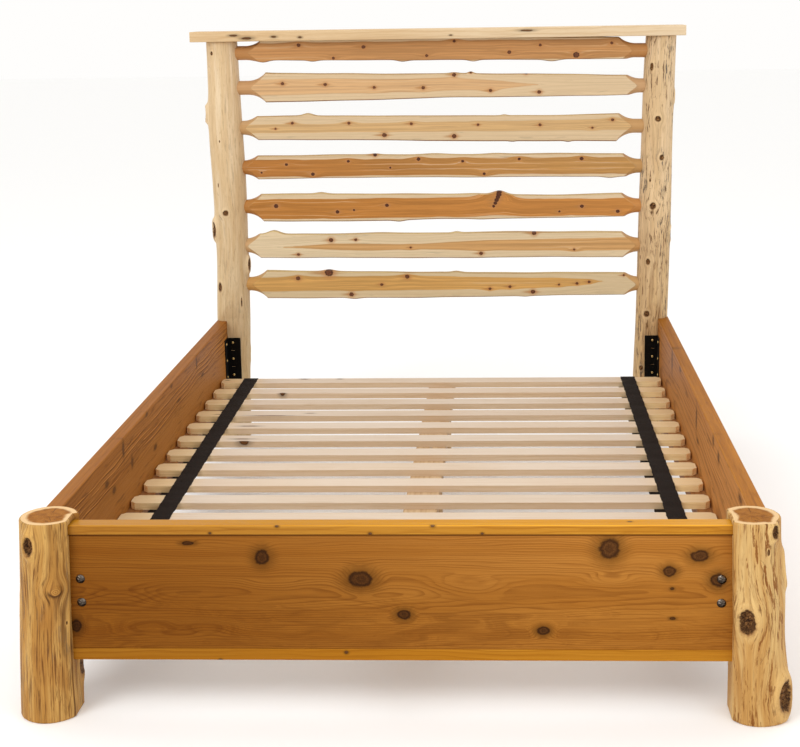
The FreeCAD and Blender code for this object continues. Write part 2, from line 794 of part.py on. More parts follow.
# Foot posts
# Short peeled logs, sawn flat towards the panel and seated flat behind for the rail.
for side_name, side in SIDES:
    shares, knots = (
        (LEFT_FOOT_LOG_SHARES, LEFT_FOOT_KNOT_SHARES)
        if side < 0
        else (RIGHT_FOOT_LOG_SHARES, RIGHT_FOOT_KNOT_SHARES)
    )
    high = size("foot_post_height")
    log = round_log(side, size("foot_post_x"), FOOT_POST_Y, FOOT_R, high, shares, knots)
    far_x = side * (RAIL_OUT + FOOT_R + OVER)
    flat_x = side * size("foot_flat_x")
    reach = FOOT_R + OVER
    log = log.cut(block((0, FOOT_POST_Y - reach, -OVER), (flat_x, FOOT_POST_Y + reach, high + OVER)))
    if side < 0:
        height_share, out_share, knot_share, back_share = INNER_KNOT_SHARE
        middle = Vector(
            flat_x + side * out_share * FOOT_R * knot_share,
            FOOT_POST_Y + back_share * FOOT_R,
            height_share * high,
        )
        log = log.fuse(Part.makeSphere(knot_share * FOOT_R, middle))
    seat_top = RAIL_TOP + size("rail_edge_radius")
    log = log.cut(block((0, FOOT_SEAT_Y, RAIL_LOW - OVER), (far_x, FOOT_SEAT_Y + FOOT_R, seat_top)))
    log = log.cut(Part.makeCompound([bracket_screws.Shape, angle_screws.Shape]))
    node(solid(f"foot_post_{side_name}", log), f"foot_post_{side_name}")

# Headboard rails
# Seven half logs, sawn face forward, each end turned down to a round tenon with a coved
# shoulder. The top one is trimmed flat under the cap, the others share out the height below
# it. Shares of half the face width, at the left shoulder, the quarters, the middle and the
# right shoulder, above and below the axis.
LOG_EDGE_SHARES = (
    ((1.05, 1.0, 1.0, 1.05, 1.0), (0.9, 0.86, 0.9, 0.84, 0.8)),
    ((1.08, 1.0, 0.98, 0.92, 0.85), (1.12, 1.0, 0.95, 0.86, 0.8)),
    ((0.92, 0.95, 1.0, 1.02, 1.08), (0.9, 0.95, 0.98, 1.04, 1.08)),
    ((0.92, 0.95, 0.86, 0.9, 0.9), (0.9, 0.86, 0.92, 0.95, 0.86)),
    ((1.04, 0.95, 1.08, 1.04, 0.95), (1.04, 1.0, 1.05, 1.08, 1.0)),
    ((1.0, 1.04, 1.0, 0.96, 0.95), (1.05, 1.0, 1.08, 1.0, 1.04)),
    ((1.08, 1.0, 1.05, 1.08, 1.04), (1.1, 1.08, 1.04, 1.05, 1.12)),
)
# Length of bare tenon between post and shoulder, left and right, as shares of the cove.
TENON_GAP_SHARES = (
    (0.8, 0.5),
    (0.88, 0.14),
    (0.4, 0.5),
    (0.32, 0.18),
    (0.4, 0.24),
    (0.24, 0.16),
    (0.5, 0.12),
)
TENON_R = size("tenon_radius")
COVE_R = size("cove_radius")
HALF_WIDTH = size("half_log_width") / 2
LOG_FACE_Y = size("log_face_y")
LOG_BACK = size("half_log_depth")
SHOULDER_X = size("log_shoulder_x")
TENON_END_X = size("head_post_x")
ARC_SHARE = math.sqrt(0.5)


def half_log_section(along, middle_z, above, below):
    """The D shape of a half log, flat face forward."""
    front_low = Vector(along, LOG_FACE_Y, middle_z - below)
    front_high = Vector(along, LOG_FACE_Y, middle_z + above)
    back = Vector(along, LOG_FACE_Y + LOG_BACK, middle_z)
    high_turn = Vector(along, LOG_FACE_Y + LOG_BACK * ARC_SHARE, middle_z + above * ARC_SHARE)
    low_turn = Vector(along, LOG_FACE_Y + LOG_BACK * ARC_SHARE, middle_z - below * ARC_SHARE)
    return Part.Wire(
        [
            Part.makeLine(front_low, front_high),
            Part.Arc(front_high, high_turn, back).toShape(),
            Part.Arc(back, low_turn, front_low).toShape(),
        ]
    )


def turned_envelope(left_gap, right_gap, middle_z):
    """The round space that a tenon cutter leaves: two tenons, two coves, and the full log."""
    ends = []
    for side, gap in ((-1, left_gap), (1, right_gap)):
        start = side * (SHOULDER_X - gap * COVE_R)
        bend = Vector(start - side * COVE_R * ARC_SHARE, 0, TENON_R + COVE_R * (1 - ARC_SHARE))
        top = Vector(start - side * COVE_R, 0, TENON_R + COVE_R)
        axis_end = Vector(side * TENON_END_X, 0, 0)
        rim = Vector(side * TENON_END_X, 0, TENON_R)
        ends.append((axis_end, rim, Vector(start, 0, TENON_R), bend, top))
    (a_axis, a_rim, a_start, a_bend, a_top), (b_axis, b_rim, b_start, b_bend, b_top) = ends
    profile = Part.Wire(
        [
            Part.makeLine(a_axis, a_rim),
            Part.makeLine(a_rim, a_start),
            Part.Arc(a_start, a_bend, a_top).toShape(),
            Part.makeLine(a_top, b_top),
            Part.Arc(b_top, b_bend, b_start).toShape(),
            Part.makeLine(b_start, b_rim),
            Part.makeLine(b_rim, b_axis),
            Part.makeLine(b_axis, a_axis),
        ]
    )
    envelope = Part.Face(profile).revolve(Vector(0, 0, 0), ALONG_X, 360)
    envelope.translate(Vector(0, HEAD_POST_Y, middle_z))
    return envelope


below_top = range(int(size("log_count")) - 2, -1, -1)
log_heights = [size("top_log_z")]
log_heights += [size("lowest_log_z") + step * size("log_pitch") for step in below_top]
mortises = []
for number, middle_z in enumerate(log_heights, start=1):
    upper, lower = LOG_EDGE_SHARES[(number - 1) % len(LOG_EDGE_SHARES)]
    stations = [-SHOULDER_X, -SHOULDER_X / 2, 0, SHOULDER_X / 2, SHOULDER_X]
    over_end = TENON_END_X + OVER
    stations = [-over_end] + stations + [over_end]
    upper = upper[:1] + upper + upper[-1:]
    lower = lower[:1] + lower + lower[-1:]
    sections = [
        half_log_section(along, middle_z, HALF_WIDTH * high, HALF_WIDTH * low)
        for along, high, low in zip(stations, upper, lower)
    ]
    log = Part.makeLoft(sections, True, False)
    left_gap, right_gap = TENON_GAP_SHARES[(number - 1) % len(TENON_GAP_SHARES)]
    log = log.common(turned_envelope(left_gap, right_gap, middle_z))
    if number == 1:
        low = (-over_end, HEAD_POST_Y - COVE_R * 2, size("head_post_height"))
        high = (over_end, HEAD_POST_Y + COVE_R * 2, size("head_post_height") + COVE_R * 2)
        log = log.cut(block(low, high))
    node(solid(f"head_rail_{number}", log), f"head_rail_{number}")
    mortise_x = TENON_END_X + size("tenon_end_gap")
    mortises.append(
        Part.makeCylinder(
            TENON_R + size("tenon_clearance"),
            2 * mortise_x,
            Vector(-mortise_x, HEAD_POST_Y, middle_z),
            ALONG_X,
        )
    )

# Cap dowels
# Two wooden dowels stand in the top of each head post and enter the cap.
DOWEL_R = size("cap_dowel_diameter") / 2
dowels = [
    Part.makeCylinder(
        DOWEL_R,
        size("cap_dowel_length"),
        Vector(
            side * (size("head_post_x") + size("cap_dowel_outset")),
            HEAD_POST_Y + step * size("cap_dowel_spacing") / 2,
            size("head_post_height") - size("cap_dowel_length") / 2,
        ),
    )
    for side_name, side in SIDES
    for step in (-1, 1)
]
cap_dowels = node(group_of("cap_dowels", dowels), "cap_dowels")

# Head posts
# Tall peeled logs with a flat seat and a rabbet for the rail, and seven round mortises.
for side_name, side in SIDES:
    shares, knots = (
        (LEFT_HEAD_LOG_SHARES, LEFT_HEAD_KNOT_SHARES)
        if side < 0
        else (RIGHT_HEAD_LOG_SHARES, RIGHT_HEAD_KNOT_SHARES)
    )
    log = round_log(side, size("head_post_x"), HEAD_POST_Y, HEAD_R, size("head_post_height"), shares, knots)
    far_x = side * (RAIL_OUT + HEAD_R)
    seat_low = RAIL_LOW - size("head_seat_margin")
    seat_high = RAIL_TOP + size("head_seat_margin")
    log = log.cut(block((0, HEAD_SEAT_Y, seat_low), (far_x, HEAD_SEAT_Y - HEAD_R, seat_high)))
    gap = size("rabbet_clearance")
    rabbet_low = (side * (RAIL_IN - gap), HEAD_SEAT_Y - HEAD_R, RAIL_LOW - gap)
    log = log.cut(block(rabbet_low, (far_x, size("rail_head_y"), RAIL_TOP + gap)))
    log = log.cut(Part.makeCompound(mortises))
    log = log.cut(Part.makeCompound([bracket_screws.Shape, cap_dowels.Shape]))
    node(solid(f"head_post_{side_name}", log), f"head_post_{side_name}")

# Cap board
cap_board = board(
    "head_cap_board",
    "cap_length",
    "cap_depth",
    "cap_thickness",
    ("-cap_length / 2", "head_post_y - cap_depth / 2", "head_post_height"),
    "cap_edge_radius",
    ALONG_X,
)
node(cut("head_cap", cap_board, cap_dowels), "head_cap")

# Centre beam
# A flat board on three legs that carries the slats along the middle; its foot end also
# rests on a cleat behind the panel.
beam_board = board(
    "centre_beam_board",
    "beam_width",
    "beam_length",
    "beam_depth",
    ("beam_offset - beam_width / 2", "panel_rear_y", "beam_under_z"),
    "rail_edge_radius",
)
node(cut("centre_beam", beam_board, beam_screws), "centre_beam")
cleat_block = board(
    "beam_cleat_block",
    "beam_width",
    "cleat_depth",
    "cleat_height",
    ("beam_offset - beam_width / 2", "panel_rear_y", "beam_under_z - cleat_height"),
)
node(cut("beam_cleat", cleat_block, beam_screws), "beam_cleat")

# Legs of the centre beam, each on a nail-on glide
STEM_R = size("glide_stem_diameter") / 2
glides = []
for along in leg_places:
    under = Vector(BEAM_X, along, 0)
    foot = Part.makeCylinder(size("glide_diameter") / 2, size("glide_height"), under)
    stem = Part.makeCylinder(STEM_R, size("glide_height") + size("glide_stem_length"), under)
    glides.append(foot.fuse(stem).removeSplitter())
leg_glides = node(group_of("leg_glides", glides), "leg_glides")
for name, share in zip(("foot", "middle", "head"), LEG_PLACE_SHARES):
    leg_block = board(
        f"centre_leg_{name}_block",
        "leg_width",
        "leg_width",
        "leg_length",
        (
            "beam_offset - leg_width / 2",
            f"panel_rear_y + {share} * beam_length - leg_width / 2",
            "glide_height",
        ),
    )
    node(cut(f"centre_leg_{name}", leg_block, beam_screws, leg_glides), f"centre_leg_{name}")

# Slat roll
# Loose slats joined into one roll by woven straps stapled above and below. It lies on the
# ledgers and the centre beam and lifts out.
SLAT_COUNT = int(size("slat_count"))
SLAT_TOP = size("deck_height")
SLAT_UNDER = size("slat_under_z")
STRAP = size("strap_thickness")
SLAT_END = size("slat_end_x")
STRAP_WIDE = size("strap_width")
DECK_HEAD = size("deck_head_y")
DECK_FOOT = size("deck_foot_y")


def strap_x(side, head_inset, foot_inset, along):
    """Where a strap's middle lies at a place along the bed."""
    share = (DECK_HEAD - along) / (DECK_HEAD - DECK_FOOT)
    return side * (SLAT_END - size(head_inset) - share * (size(foot_inset) - size(head_inset)))


STRAPS = (
    ("strap_left", -1, "left_strap_head_inset", "left_strap_foot_inset", SLAT_TOP, 1),
    ("strap_right", 1, "right_strap_head_inset", "right_strap_foot_inset", SLAT_TOP, 1),
    ("under_strap_left", -1, "under_strap_left_inset", "under_strap_left_inset", SLAT_UNDER, -1),
    ("under_strap_right", 1, "under_strap_right_inset", "under_strap_right_inset", SLAT_UNDER, -1),
)
WIRE = size("staple_wire")
crown = size("staple_crown") / 2
staple_outline = Part.makePolygon(
    [
        Vector(-crown, 0, -size("staple_leg")),
        Vector(-crown, 0, WIRE),
        Vector(crown, 0, WIRE),
        Vector(crown, 0, -size("staple_leg")),
        Vector(crown - WIRE, 0, -size("staple_leg")),
        Vector(crown - WIRE, 0, 0),
        Vector(WIRE - crown, 0, 0),
        Vector(WIRE - crown, 0, -size("staple_leg")),
        Vector(-crown, 0, -size("staple_leg")),
    ]
)
staple = Part.Face(staple_outline).extrude(Vector(0, WIRE, 0))
staples = []
for index in range(SLAT_COUNT):
    along = DECK_HEAD - size("slat_width") / 2 - index * size("slat_pitch")
    for name, side, head_inset, foot_inset, level, upward in STRAPS:
        middle = strap_x(side, head_inset, foot_inset, along)
        steps, turn = ((-0.5, 0.5), 0) if upward > 0 else ((0,), 180)
        for step in steps:
            at = Vector(middle + step * size("staple_spacing"), along, level + upward * STRAP)
            placed = staple.copy()
            placed.Placement = Placement(at, Rotation(ALONG_X, turn))
            staples.append(placed)
strap_staples = node(group_of("strap_staples", staples), "strap_staples")
for index in range(SLAT_COUNT):
    body = board(
        f"slat_{index + 1:02d}_board",
        "slat_length",
        "slat_width",
        "slat_thickness",
        ("-slat_end_x", f"deck_head_y - slat_width - {index} * slat_pitch", "slat_under_z"),
    )
    blank = body.Tip
    corners = body.newObject("PartDesign::Chamfer", f"slat_{index + 1:02d}_corners")
    corners.Base = (blank, edges_along(blank.Shape, UP))
    bind(corners, Size="slat_corner")
    doc.recompute()
    eased = body.newObject("PartDesign::Fillet", f"slat_{index + 1:02d}_eased")
    eased.Base = (corners, edges_along(corners.Shape, ALONG_X, corners.Shape.BoundBox.Center.z))
    bind(eased, Radius="slat_edge_radius")
    node(cut(f"slat_{index + 1:02d}", body, strap_staples), f"slat_{index + 1:02d}")
for name, side, head_inset, foot_inset, level, upward in STRAPS:
    head_x = strap_x(side, head_inset, foot_inset, DECK_HEAD)
    foot_x = strap_x(side, head_inset, foot_inset, DECK_FOOT)
    half = STRAP_WIDE / 2
    base = level if upward > 0 else level - STRAP
    corners = [
        Vector(head_x - half, DECK_HEAD, base),
        Vector(head_x + half, DECK_HEAD, base),
        Vector(foot_x + half, DECK_FOOT, base),
        Vector(foot_x - half, DECK_FOOT, base),
    ]
    face = Part.Face(Part.makePolygon(corners + corners[:1]))
    strap = face.extrude(Vector(0, 0, STRAP)).cut(strap_staples.Shape)
    node(solid(name, strap), name)

# Check every object and write one file for each piece
doc.recompute()
os.makedirs("parts", exist_ok=True)
for item in doc.Objects:
    if "Invalid" in item.State or "Error" in item.State:
        raise RuntimeError(f"{item.Name} did not build: {item.State}")
for item in NODES:
    if item.Shape.isNull() or not item.Shape.isValid() or item.Shape.Volume <= 0:
        raise RuntimeError(f"{item.Label} has no sound shape")
for item in NODES:
    item.Shape.exportStep(f"parts/{item.Label}.step")
print(len(NODES), "pieces written")
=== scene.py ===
import math

import bpy
import numpy as np
from mathutils import Matrix, Vector


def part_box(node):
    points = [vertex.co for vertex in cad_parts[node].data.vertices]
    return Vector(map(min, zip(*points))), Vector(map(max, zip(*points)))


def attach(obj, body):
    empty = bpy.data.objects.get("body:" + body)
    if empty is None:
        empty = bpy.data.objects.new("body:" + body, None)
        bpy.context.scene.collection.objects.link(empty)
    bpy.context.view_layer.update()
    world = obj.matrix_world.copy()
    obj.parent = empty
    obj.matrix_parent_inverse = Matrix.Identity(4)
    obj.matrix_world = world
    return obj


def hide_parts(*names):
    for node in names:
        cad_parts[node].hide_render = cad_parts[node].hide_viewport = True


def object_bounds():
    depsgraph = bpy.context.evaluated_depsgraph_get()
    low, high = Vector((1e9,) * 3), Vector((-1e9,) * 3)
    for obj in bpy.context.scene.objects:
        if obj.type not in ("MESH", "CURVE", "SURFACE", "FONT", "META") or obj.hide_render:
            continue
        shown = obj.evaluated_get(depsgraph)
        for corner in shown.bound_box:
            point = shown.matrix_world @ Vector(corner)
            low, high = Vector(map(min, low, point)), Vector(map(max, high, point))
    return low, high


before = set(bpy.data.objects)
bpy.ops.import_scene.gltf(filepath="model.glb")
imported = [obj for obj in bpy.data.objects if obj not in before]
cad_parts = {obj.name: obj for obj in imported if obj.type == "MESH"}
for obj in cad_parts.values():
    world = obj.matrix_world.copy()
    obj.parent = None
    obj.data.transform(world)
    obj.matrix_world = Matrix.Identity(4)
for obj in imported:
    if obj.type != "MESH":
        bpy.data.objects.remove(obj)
cad_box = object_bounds()
scene = bpy.context.scene

# Camera
# It stands in front of the footboard at head height, a little to the right, and looks
# slightly down on the slats.
EYE = Vector((0.2466, -4.1352, 1.5387))
LEFTWARD = math.radians(2.433)
DOWNWARD = math.radians(10.409)
TILT = math.radians(-0.873)
ahead = Vector(
    (
        -math.sin(LEFTWARD) * math.cos(DOWNWARD),
        math.cos(LEFTWARD) * math.cos(DOWNWARD),
        -math.sin(DOWNWARD),
    )
)
level = Vector((math.cos(LEFTWARD), math.sin(LEFTWARD), 0))
above = level.cross(ahead)
rightward = level * math.cos(TILT) + above * math.sin(TILT)
upward = above * math.cos(TILT) - level * math.sin(TILT)
camera_data = bpy.data.cameras.new("photo_view")
camera_data.lens = 66.75
camera_data.sensor_width = 36
camera_data.shift_x = -0.06
camera_data.shift_y = -0.12
camera = bpy.data.objects.new("photo_view", camera_data)
view_axes = Matrix((rightward, upward, -ahead)).transposed().to_4x4()
camera.matrix_world = Matrix.Translation(EYE) @ view_axes
scene.collection.objects.link(camera)
scene.camera = camera

# Floor and studio light
# A plain pale floor under a white surround, with one wide soft lamp high on the left, a
# weaker one on the right and one overhead.
FLOOR_REACH = 30
floor_mesh = bpy.data.meshes.new("floor")
floor_mesh.from_pydata(
    [
        (sx * FLOOR_REACH, sy * FLOOR_REACH, 0)
        for sx, sy in ((-1, -1), (1, -1), (1, 1), (-1, 1))
    ],
    [],
    [(0, 1, 2, 3)],
)
floor = bpy.data.objects.new("floor", floor_mesh)
scene.collection.objects.link(floor)
floor_paint = bpy.data.materials.new("pale_floor")
floor_paint.use_nodes = True
floor_shader = floor_paint.node_tree.nodes["Principled BSDF"]
floor_shader.inputs["Base Color"].default_value = (0.98, 0.98, 0.975, 1)
floor_shader.inputs["Roughness"].default_value = 0.9
floor_shader.inputs["Specular IOR Level"].default_value = 0.1
floor_mesh.materials.append(floor_paint)

surround = bpy.data.worlds.new("white_surround")
surround.use_nodes = True
surround.node_tree.nodes["Background"].inputs["Color"].default_value = (1, 0.99, 0.975, 1)
surround.node_tree.nodes["Background"].inputs["Strength"].default_value = 1.0
scene.world = surround
scene.view_settings.view_transform = "Standard"

LAMPS = {
    "key": ((-3.2, -4.6, 4.2), (0, 0.1, 0.5), 2.6, 120),
    "fill": ((3.8, -3.6, 3.0), (0, -0.2, 0.4), 3.0, 30),
    "overhead": ((0, 0.3, 4.6), (0, 0.1, 0), 4.0, 30),
}
for name, (stand, aim, across, watts) in LAMPS.items():
    lamp = bpy.data.lights.new(name, "AREA")
    lamp.shape = "SQUARE"
    lamp.size = across
    lamp.energy = watts
    holder = bpy.data.objects.new(name, lamp)
    holder.location = stand
    holder.rotation_euler = (Vector(aim) - Vector(stand)).to_track_quat("-Z", "Y").to_euler()
    scene.collection.objects.link(holder)

# Foot posts
# Two short peeled cedar logs with their knots and bark pockets, sawn flat towards the
# footboard and seated flat behind for the side rail.
FOOT_RADIUS = 0.0665
FOOT_X = 0.773
FOOT_Y = -1.08275
FOOT_FLAT_X = 0.721
RAIL_LOW_Z = 0.149
RAIL_TOP_Z = 0.435
RAIL_INNER_X = 0.770
FOOT_SEAT_Y = -1.03475
FOOT_TOP_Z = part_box("foot_post_left")[1].z
FOOT_FLAT_TOP_Z = 0.37
TRIM_BACK_Y = -1.067
TRIM_LOW_Z = 0.42
TRIM_TOP_Z = 0.442
# How far the logs lap over the footboard's ends, in front of it and behind it, and between
# which heights the front lap grows.
FOOT_LAPS = {-1: (0.009, 0.021), 1: (0.0065, 0.009)}
LAP_HEIGHTS = (0.2, 0.45)
# The log stays this far in front of the panel and of the top trim, and above the trim.
PANEL_CLEAR_Y = -1.1045
TRIM_CLEAR_Y = -1.1103
TRIM_CLEAR = 0.0022
# Where nothing limits a log's reach, and the least turn towards a flat that counts.
FAR = 9
LEAST_TURN = 1e-3
SIDES = (("left", -1), ("right", 1))


class Finish:
    """A procedural material. Each method adds one node and gives its output."""

    def __init__(self, name, rough=0.55, metal=0.0, gloss=0.35):
        self.material = bpy.data.materials.new(name)
        self.material.use_nodes = True
        self.tree = self.material.node_tree
        self.shader = self.tree.nodes["Principled BSDF"]
        self.shader.inputs["Roughness"].default_value = rough
        self.shader.inputs["Metallic"].default_value = metal
        self.shader.inputs["Specular IOR Level"].default_value = gloss
        self.spot = self.add("ShaderNodeTexCoord").outputs["Object"]

    def add(self, kind, **settings):
        made = self.tree.nodes.new(kind)
        for key, value in settings.items():
            setattr(made, key, value)
        return made

    def feed(self, socket, value):
        if isinstance(value, bpy.types.NodeSocket):
            self.tree.links.new(value, socket)
        elif isinstance(value, tuple) and len(value) == 3 and socket.type == "RGBA":
            socket.default_value = (*value, 1)
        else:
            socket.default_value = value

    def calc(self, operation, *values):
        made = self.add("ShaderNodeMath", operation=operation)
        for socket, value in zip(made.inputs, values):
            self.feed(socket, value)
        return made.outputs[0]

    def times(self, *values):
        return self.calc("MULTIPLY", *values)

    def plus(self, *values):
        return self.calc("ADD", *values)

    def minus(self, *values):
        return self.calc("SUBTRACT", *values)

    def vector(self, operation, *values):
        made = self.add("ShaderNodeVectorMath", operation=operation)
        for socket, value in zip(made.inputs, values):
            self.feed(socket, value)
        return made.outputs["Value" if operation in ("LENGTH", "DOT_PRODUCT") else "Vector"]

    def parts(self, vector):
        made = self.add("ShaderNodeSeparateXYZ")
        self.feed(made.inputs[0], vector)
        return made.outputs

    def join(self, x, y, z):
        made = self.add("ShaderNodeCombineXYZ")
        for socket, value in zip(made.inputs, (x, y, z)):
            self.feed(socket, value)
        return made.outputs[0]

    def mapped(self, vector, scale, shift=(0, 0, 0)):
        made = self.add("ShaderNodeMapping")
        self.feed(made.inputs["Vector"], vector)
        made.inputs["Scale"].default_value = scale
        made.inputs["Location"].default_value = shift
        return made.outputs[0]

    def cloud(self, vector, scale=1.0, detail=3.0, rough=0.55, bend=0.0):
        made = self.add("ShaderNodeTexNoise")
        self.feed(made.inputs["Vector"], vector)
        made.inputs["Scale"].default_value = scale
        made.inputs["Detail"].default_value = detail
        made.inputs["Roughness"].default_value = rough
        made.inputs["Distortion"].default_value = bend
        return made.outputs["Fac"]

    def step(self, value, low, high, to_low=0.0, to_high=1.0):
        made = self.add("ShaderNodeMapRange", interpolation_type="SMOOTHSTEP")
        for socket, number in zip(made.inputs, (value, low, high, to_low, to_high)):
            self.feed(socket, number)
        return made.outputs[0]

    def blend(self, share, first, second, way="MIX"):
        made = self.add("ShaderNodeMix", data_type="RGBA", blend_type=way)
        for index, value in ((0, share), (6, first), (7, second)):
            self.feed(made.inputs[index], value)
        return made.outputs[2]

    def fade(self, colour, value, low, high, low_tint, high_tint):
        """Tints a colour from one end of a range to the other."""
        tint = self.blend(self.step(value, low, high), low_tint, high_tint)
        return self.blend(1.0, colour, tint, "MULTIPLY")

    def attribute(self, name):
        made = self.add("ShaderNodeAttribute", attribute_name=name)
        return made.outputs

    def bump(self, height, depth, strength=1.0):
        made = self.add("ShaderNodeBump")
        made.inputs["Strength"].default_value = strength
        made.inputs["Distance"].default_value = depth
        self.feed(made.inputs["Height"], height)
        return made.outputs[0]

    def done(self, colour, rough=None, normal=None):
        self.feed(self.shader.inputs["Base Color"], colour)
        if rough is not None:
            self.feed(self.shader.inputs["Roughness"], rough)
        if normal is not None:
            self.feed(self.shader.inputs["Normal"], normal)
        return self.material


def knot_group():
    """How far a point lies from a knot, in knot radii, and how the grain heaps up round it."""
    tree = bpy.data.node_groups.new("knot", "ShaderNodeTree")
    for name in ("Point", "Centre", "Per Radius"):
        tree.interface.new_socket(name, in_out="INPUT", socket_type="NodeSocketVector")
    tree.interface.new_socket("Lift", in_out="INPUT", socket_type="NodeSocketFloat")
    for name in ("Distance", "Hill"):
        tree.interface.new_socket(name, in_out="OUTPUT", socket_type="NodeSocketFloat")
    given = tree.nodes.new("NodeGroupInput")
    gives = tree.nodes.new("NodeGroupOutput")
    away = tree.nodes.new("ShaderNodeVectorMath")
    away.operation = "SUBTRACT"
    scaled = tree.nodes.new("ShaderNodeVectorMath")
    scaled.operation = "MULTIPLY"
    length = tree.nodes.new("ShaderNodeVectorMath")
    length.operation = "LENGTH"
    tree.links.new(given.outputs["Point"], away.inputs[0])
    tree.links.new(given.outputs["Centre"], away.inputs[1])
    tree.links.new(away.outputs[0], scaled.inputs[0])
    tree.links.new(given.outputs["Per Radius"], scaled.inputs[1])
    tree.links.new(scaled.outputs[0], length.inputs[0])
    tree.links.new(length.outputs["Value"], gives.inputs["Distance"])
    fall = tree.nodes.new("ShaderNodeMapRange")
    fall.interpolation_type = "SMOOTHERSTEP"
    fall.inputs["From Max"].default_value = 4.5
    fall.inputs["To Min"].default_value = 1
    fall.inputs["To Max"].default_value = 0
    tree.links.new(length.outputs["Value"], fall.inputs["Value"])
    steep = tree.nodes.new("ShaderNodeMath")
    steep.operation = "POWER"
    steep.inputs[1].default_value = 2.5
    tree.links.new(fall.outputs[0], steep.inputs[0])
    lifted = tree.nodes.new("ShaderNodeMath")
    lifted.operation = "MULTIPLY"
    tree.links.new(steep.outputs[0], lifted.inputs[0])
    tree.links.new(given.outputs["Lift"], lifted.inputs[1])
    tree.links.new(lifted.outputs[0], gives.inputs["Hill"])
    return tree


KNOT = knot_group()


def knots_of(finish, point, knots):
    """The nearest knot's distance and the heaped grain of a list of (centre, radii, lift)."""
    nearest = None
    heap = 0.0
    for centre, radii, lift in knots:
        made = finish.add("ShaderNodeGroup", node_tree=KNOT)
        finish.feed(made.inputs["Point"], point)
        made.inputs["Centre"].default_value = centre
        made.inputs["Per Radius"].default_value = [0 if r == 0 else 1 / r for r in radii]
        made.inputs["Lift"].default_value = lift
        far, hill = made.outputs
        nearest = far if nearest is None else finish.calc("MINIMUM", nearest, far)
        heap = finish.plus(hill, heap)
    return nearest, heap


def knot_colours(
    finish, wood, distance, dark, ring, halo, halo_strength=0.5, rings=9.0, soft=1.0
):
    """Paints knots over wood: a stained halo, a dark rim and a brown core with faint rings."""
    near = finish.calc("POWER", finish.step(distance, 0.8, 3.2, 1.0, 0.0), 1.6)
    wood = finish.blend(finish.times(near, halo_strength), wood, halo)
    turns = finish.calc("SINE", finish.times(distance, rings))
    mottle = finish.cloud(finish.spot, 330, 3, 0.65)
    core = finish.blend(finish.step(turns, -1.0, 1.0, 0.0, 0.45), ring, dark)
    core = finish.blend(finish.step(mottle, 0.42, 0.62, 0.0, 0.45), core, dark)
    core = finish.blend(finish.step(distance, 0.5, 0.9, 0.0, soft), core, dark)
    return finish.blend(
        finish.step(distance, 0.88, 0.88 + 0.3 * soft + 0.6 * (1 - soft), 1.0, 0.0), wood, core
    )


def flowing(stations, values, at):
    """A smooth curve through values given at stations."""
    stations, values = np.asarray(stations, float), np.asarray(values, float)
    slopes = np.gradient(values, stations)
    index = np.clip(np.searchsorted(stations, at) - 1, 0, len(stations) - 2)
    width = stations[index + 1] - stations[index]
    t = (at - stations[index]) / width
    return (
        (2 * t**3 - 3 * t**2 + 1) * values[index]
        + (t**3 - 2 * t**2 + t) * width * slopes[index]
        + (3 * t**2 - 2 * t**3) * values[index + 1]
        + (t**3 - t**2) * width * slopes[index + 1]
    )


def ripple(around, along, seed, waves, rise):
    """Ridges that run along a log and drift a little, from -1 to 1."""
    draw = np.random.default_rng(seed)
    total = np.zeros(np.broadcast(around, along).shape)
    for wave in waves:
        drift = draw.uniform(-rise, rise)
        total += np.sin(wave * around + drift * along + draw.uniform(0, 6.3)) * np.sin(
            draw.uniform(0.4, 1.0) * rise * along + draw.uniform(0, 6.3)
        )
    return total / len(waves)


def skin(name, rows, attributes, end_rows, materials, sharp=38):
    """A closed mesh from rings of points, with a middle point at each end.

    end_rows rings at either end, and the tips, take the second material.
    """
    count, around = rows.shape[:2]
    points = rows.reshape(-1, 3).tolist()
    points += [rows[0].mean(axis=0).tolist(), rows[-1].mean(axis=0).tolist()]
    index = np.arange(count * around).reshape(count, around)
    after = np.roll(index, -1, axis=1)
    quads = np.stack([index[:-1], after[:-1], after[1:], index[1:]], axis=-1).reshape(-1, 4)
    faces = quads.tolist()
    first, last = count * around, count * around + 1
    faces += [[first, after[0, k], index[0, k]] for k in range(around)]
    faces += [[last, index[-1, k], after[-1, k]] for k in range(around)]
    mesh = bpy.data.meshes.new(name)
    mesh.from_pydata(points, [], [[int(corner) for corner in face] for face in faces])
    for key, values in attributes.items():
        flat = values.reshape(count * around, -1)
        ends = np.stack(
            [values[0].reshape(around, -1).mean(0), values[-1].reshape(around, -1).mean(0)]
        )
        flat = np.concatenate([flat, ends])
        kind, field = ("FLOAT", "value") if flat.shape[1] == 1 else ("FLOAT_VECTOR", "vector")
        mesh.attributes.new(key, kind, "POINT").data.foreach_set(
            field, flat.astype(np.float32).ravel()
        )
    for material in materials:
        mesh.materials.append(material)
    slots = np.zeros(len(faces), np.int32)
    ring = np.arange(len(quads)) // around
    slots[: len(quads)] = (ring < end_rows) | (ring >= count - 1 - end_rows)
    slots[len(quads) :] = 1
    if len(materials) > 1:
        mesh.polygons.foreach_set("material_index", slots)
    mesh.shade_smooth()
    mesh.set_sharp_from_angle(angle=math.radians(sharp))
    piece = bpy.data.objects.new(name, mesh)
    scene.collection.objects.link(piece)
    return piece


END_RINGS = 16
EDGE_ROUND = 0.004
FAR = 9.0


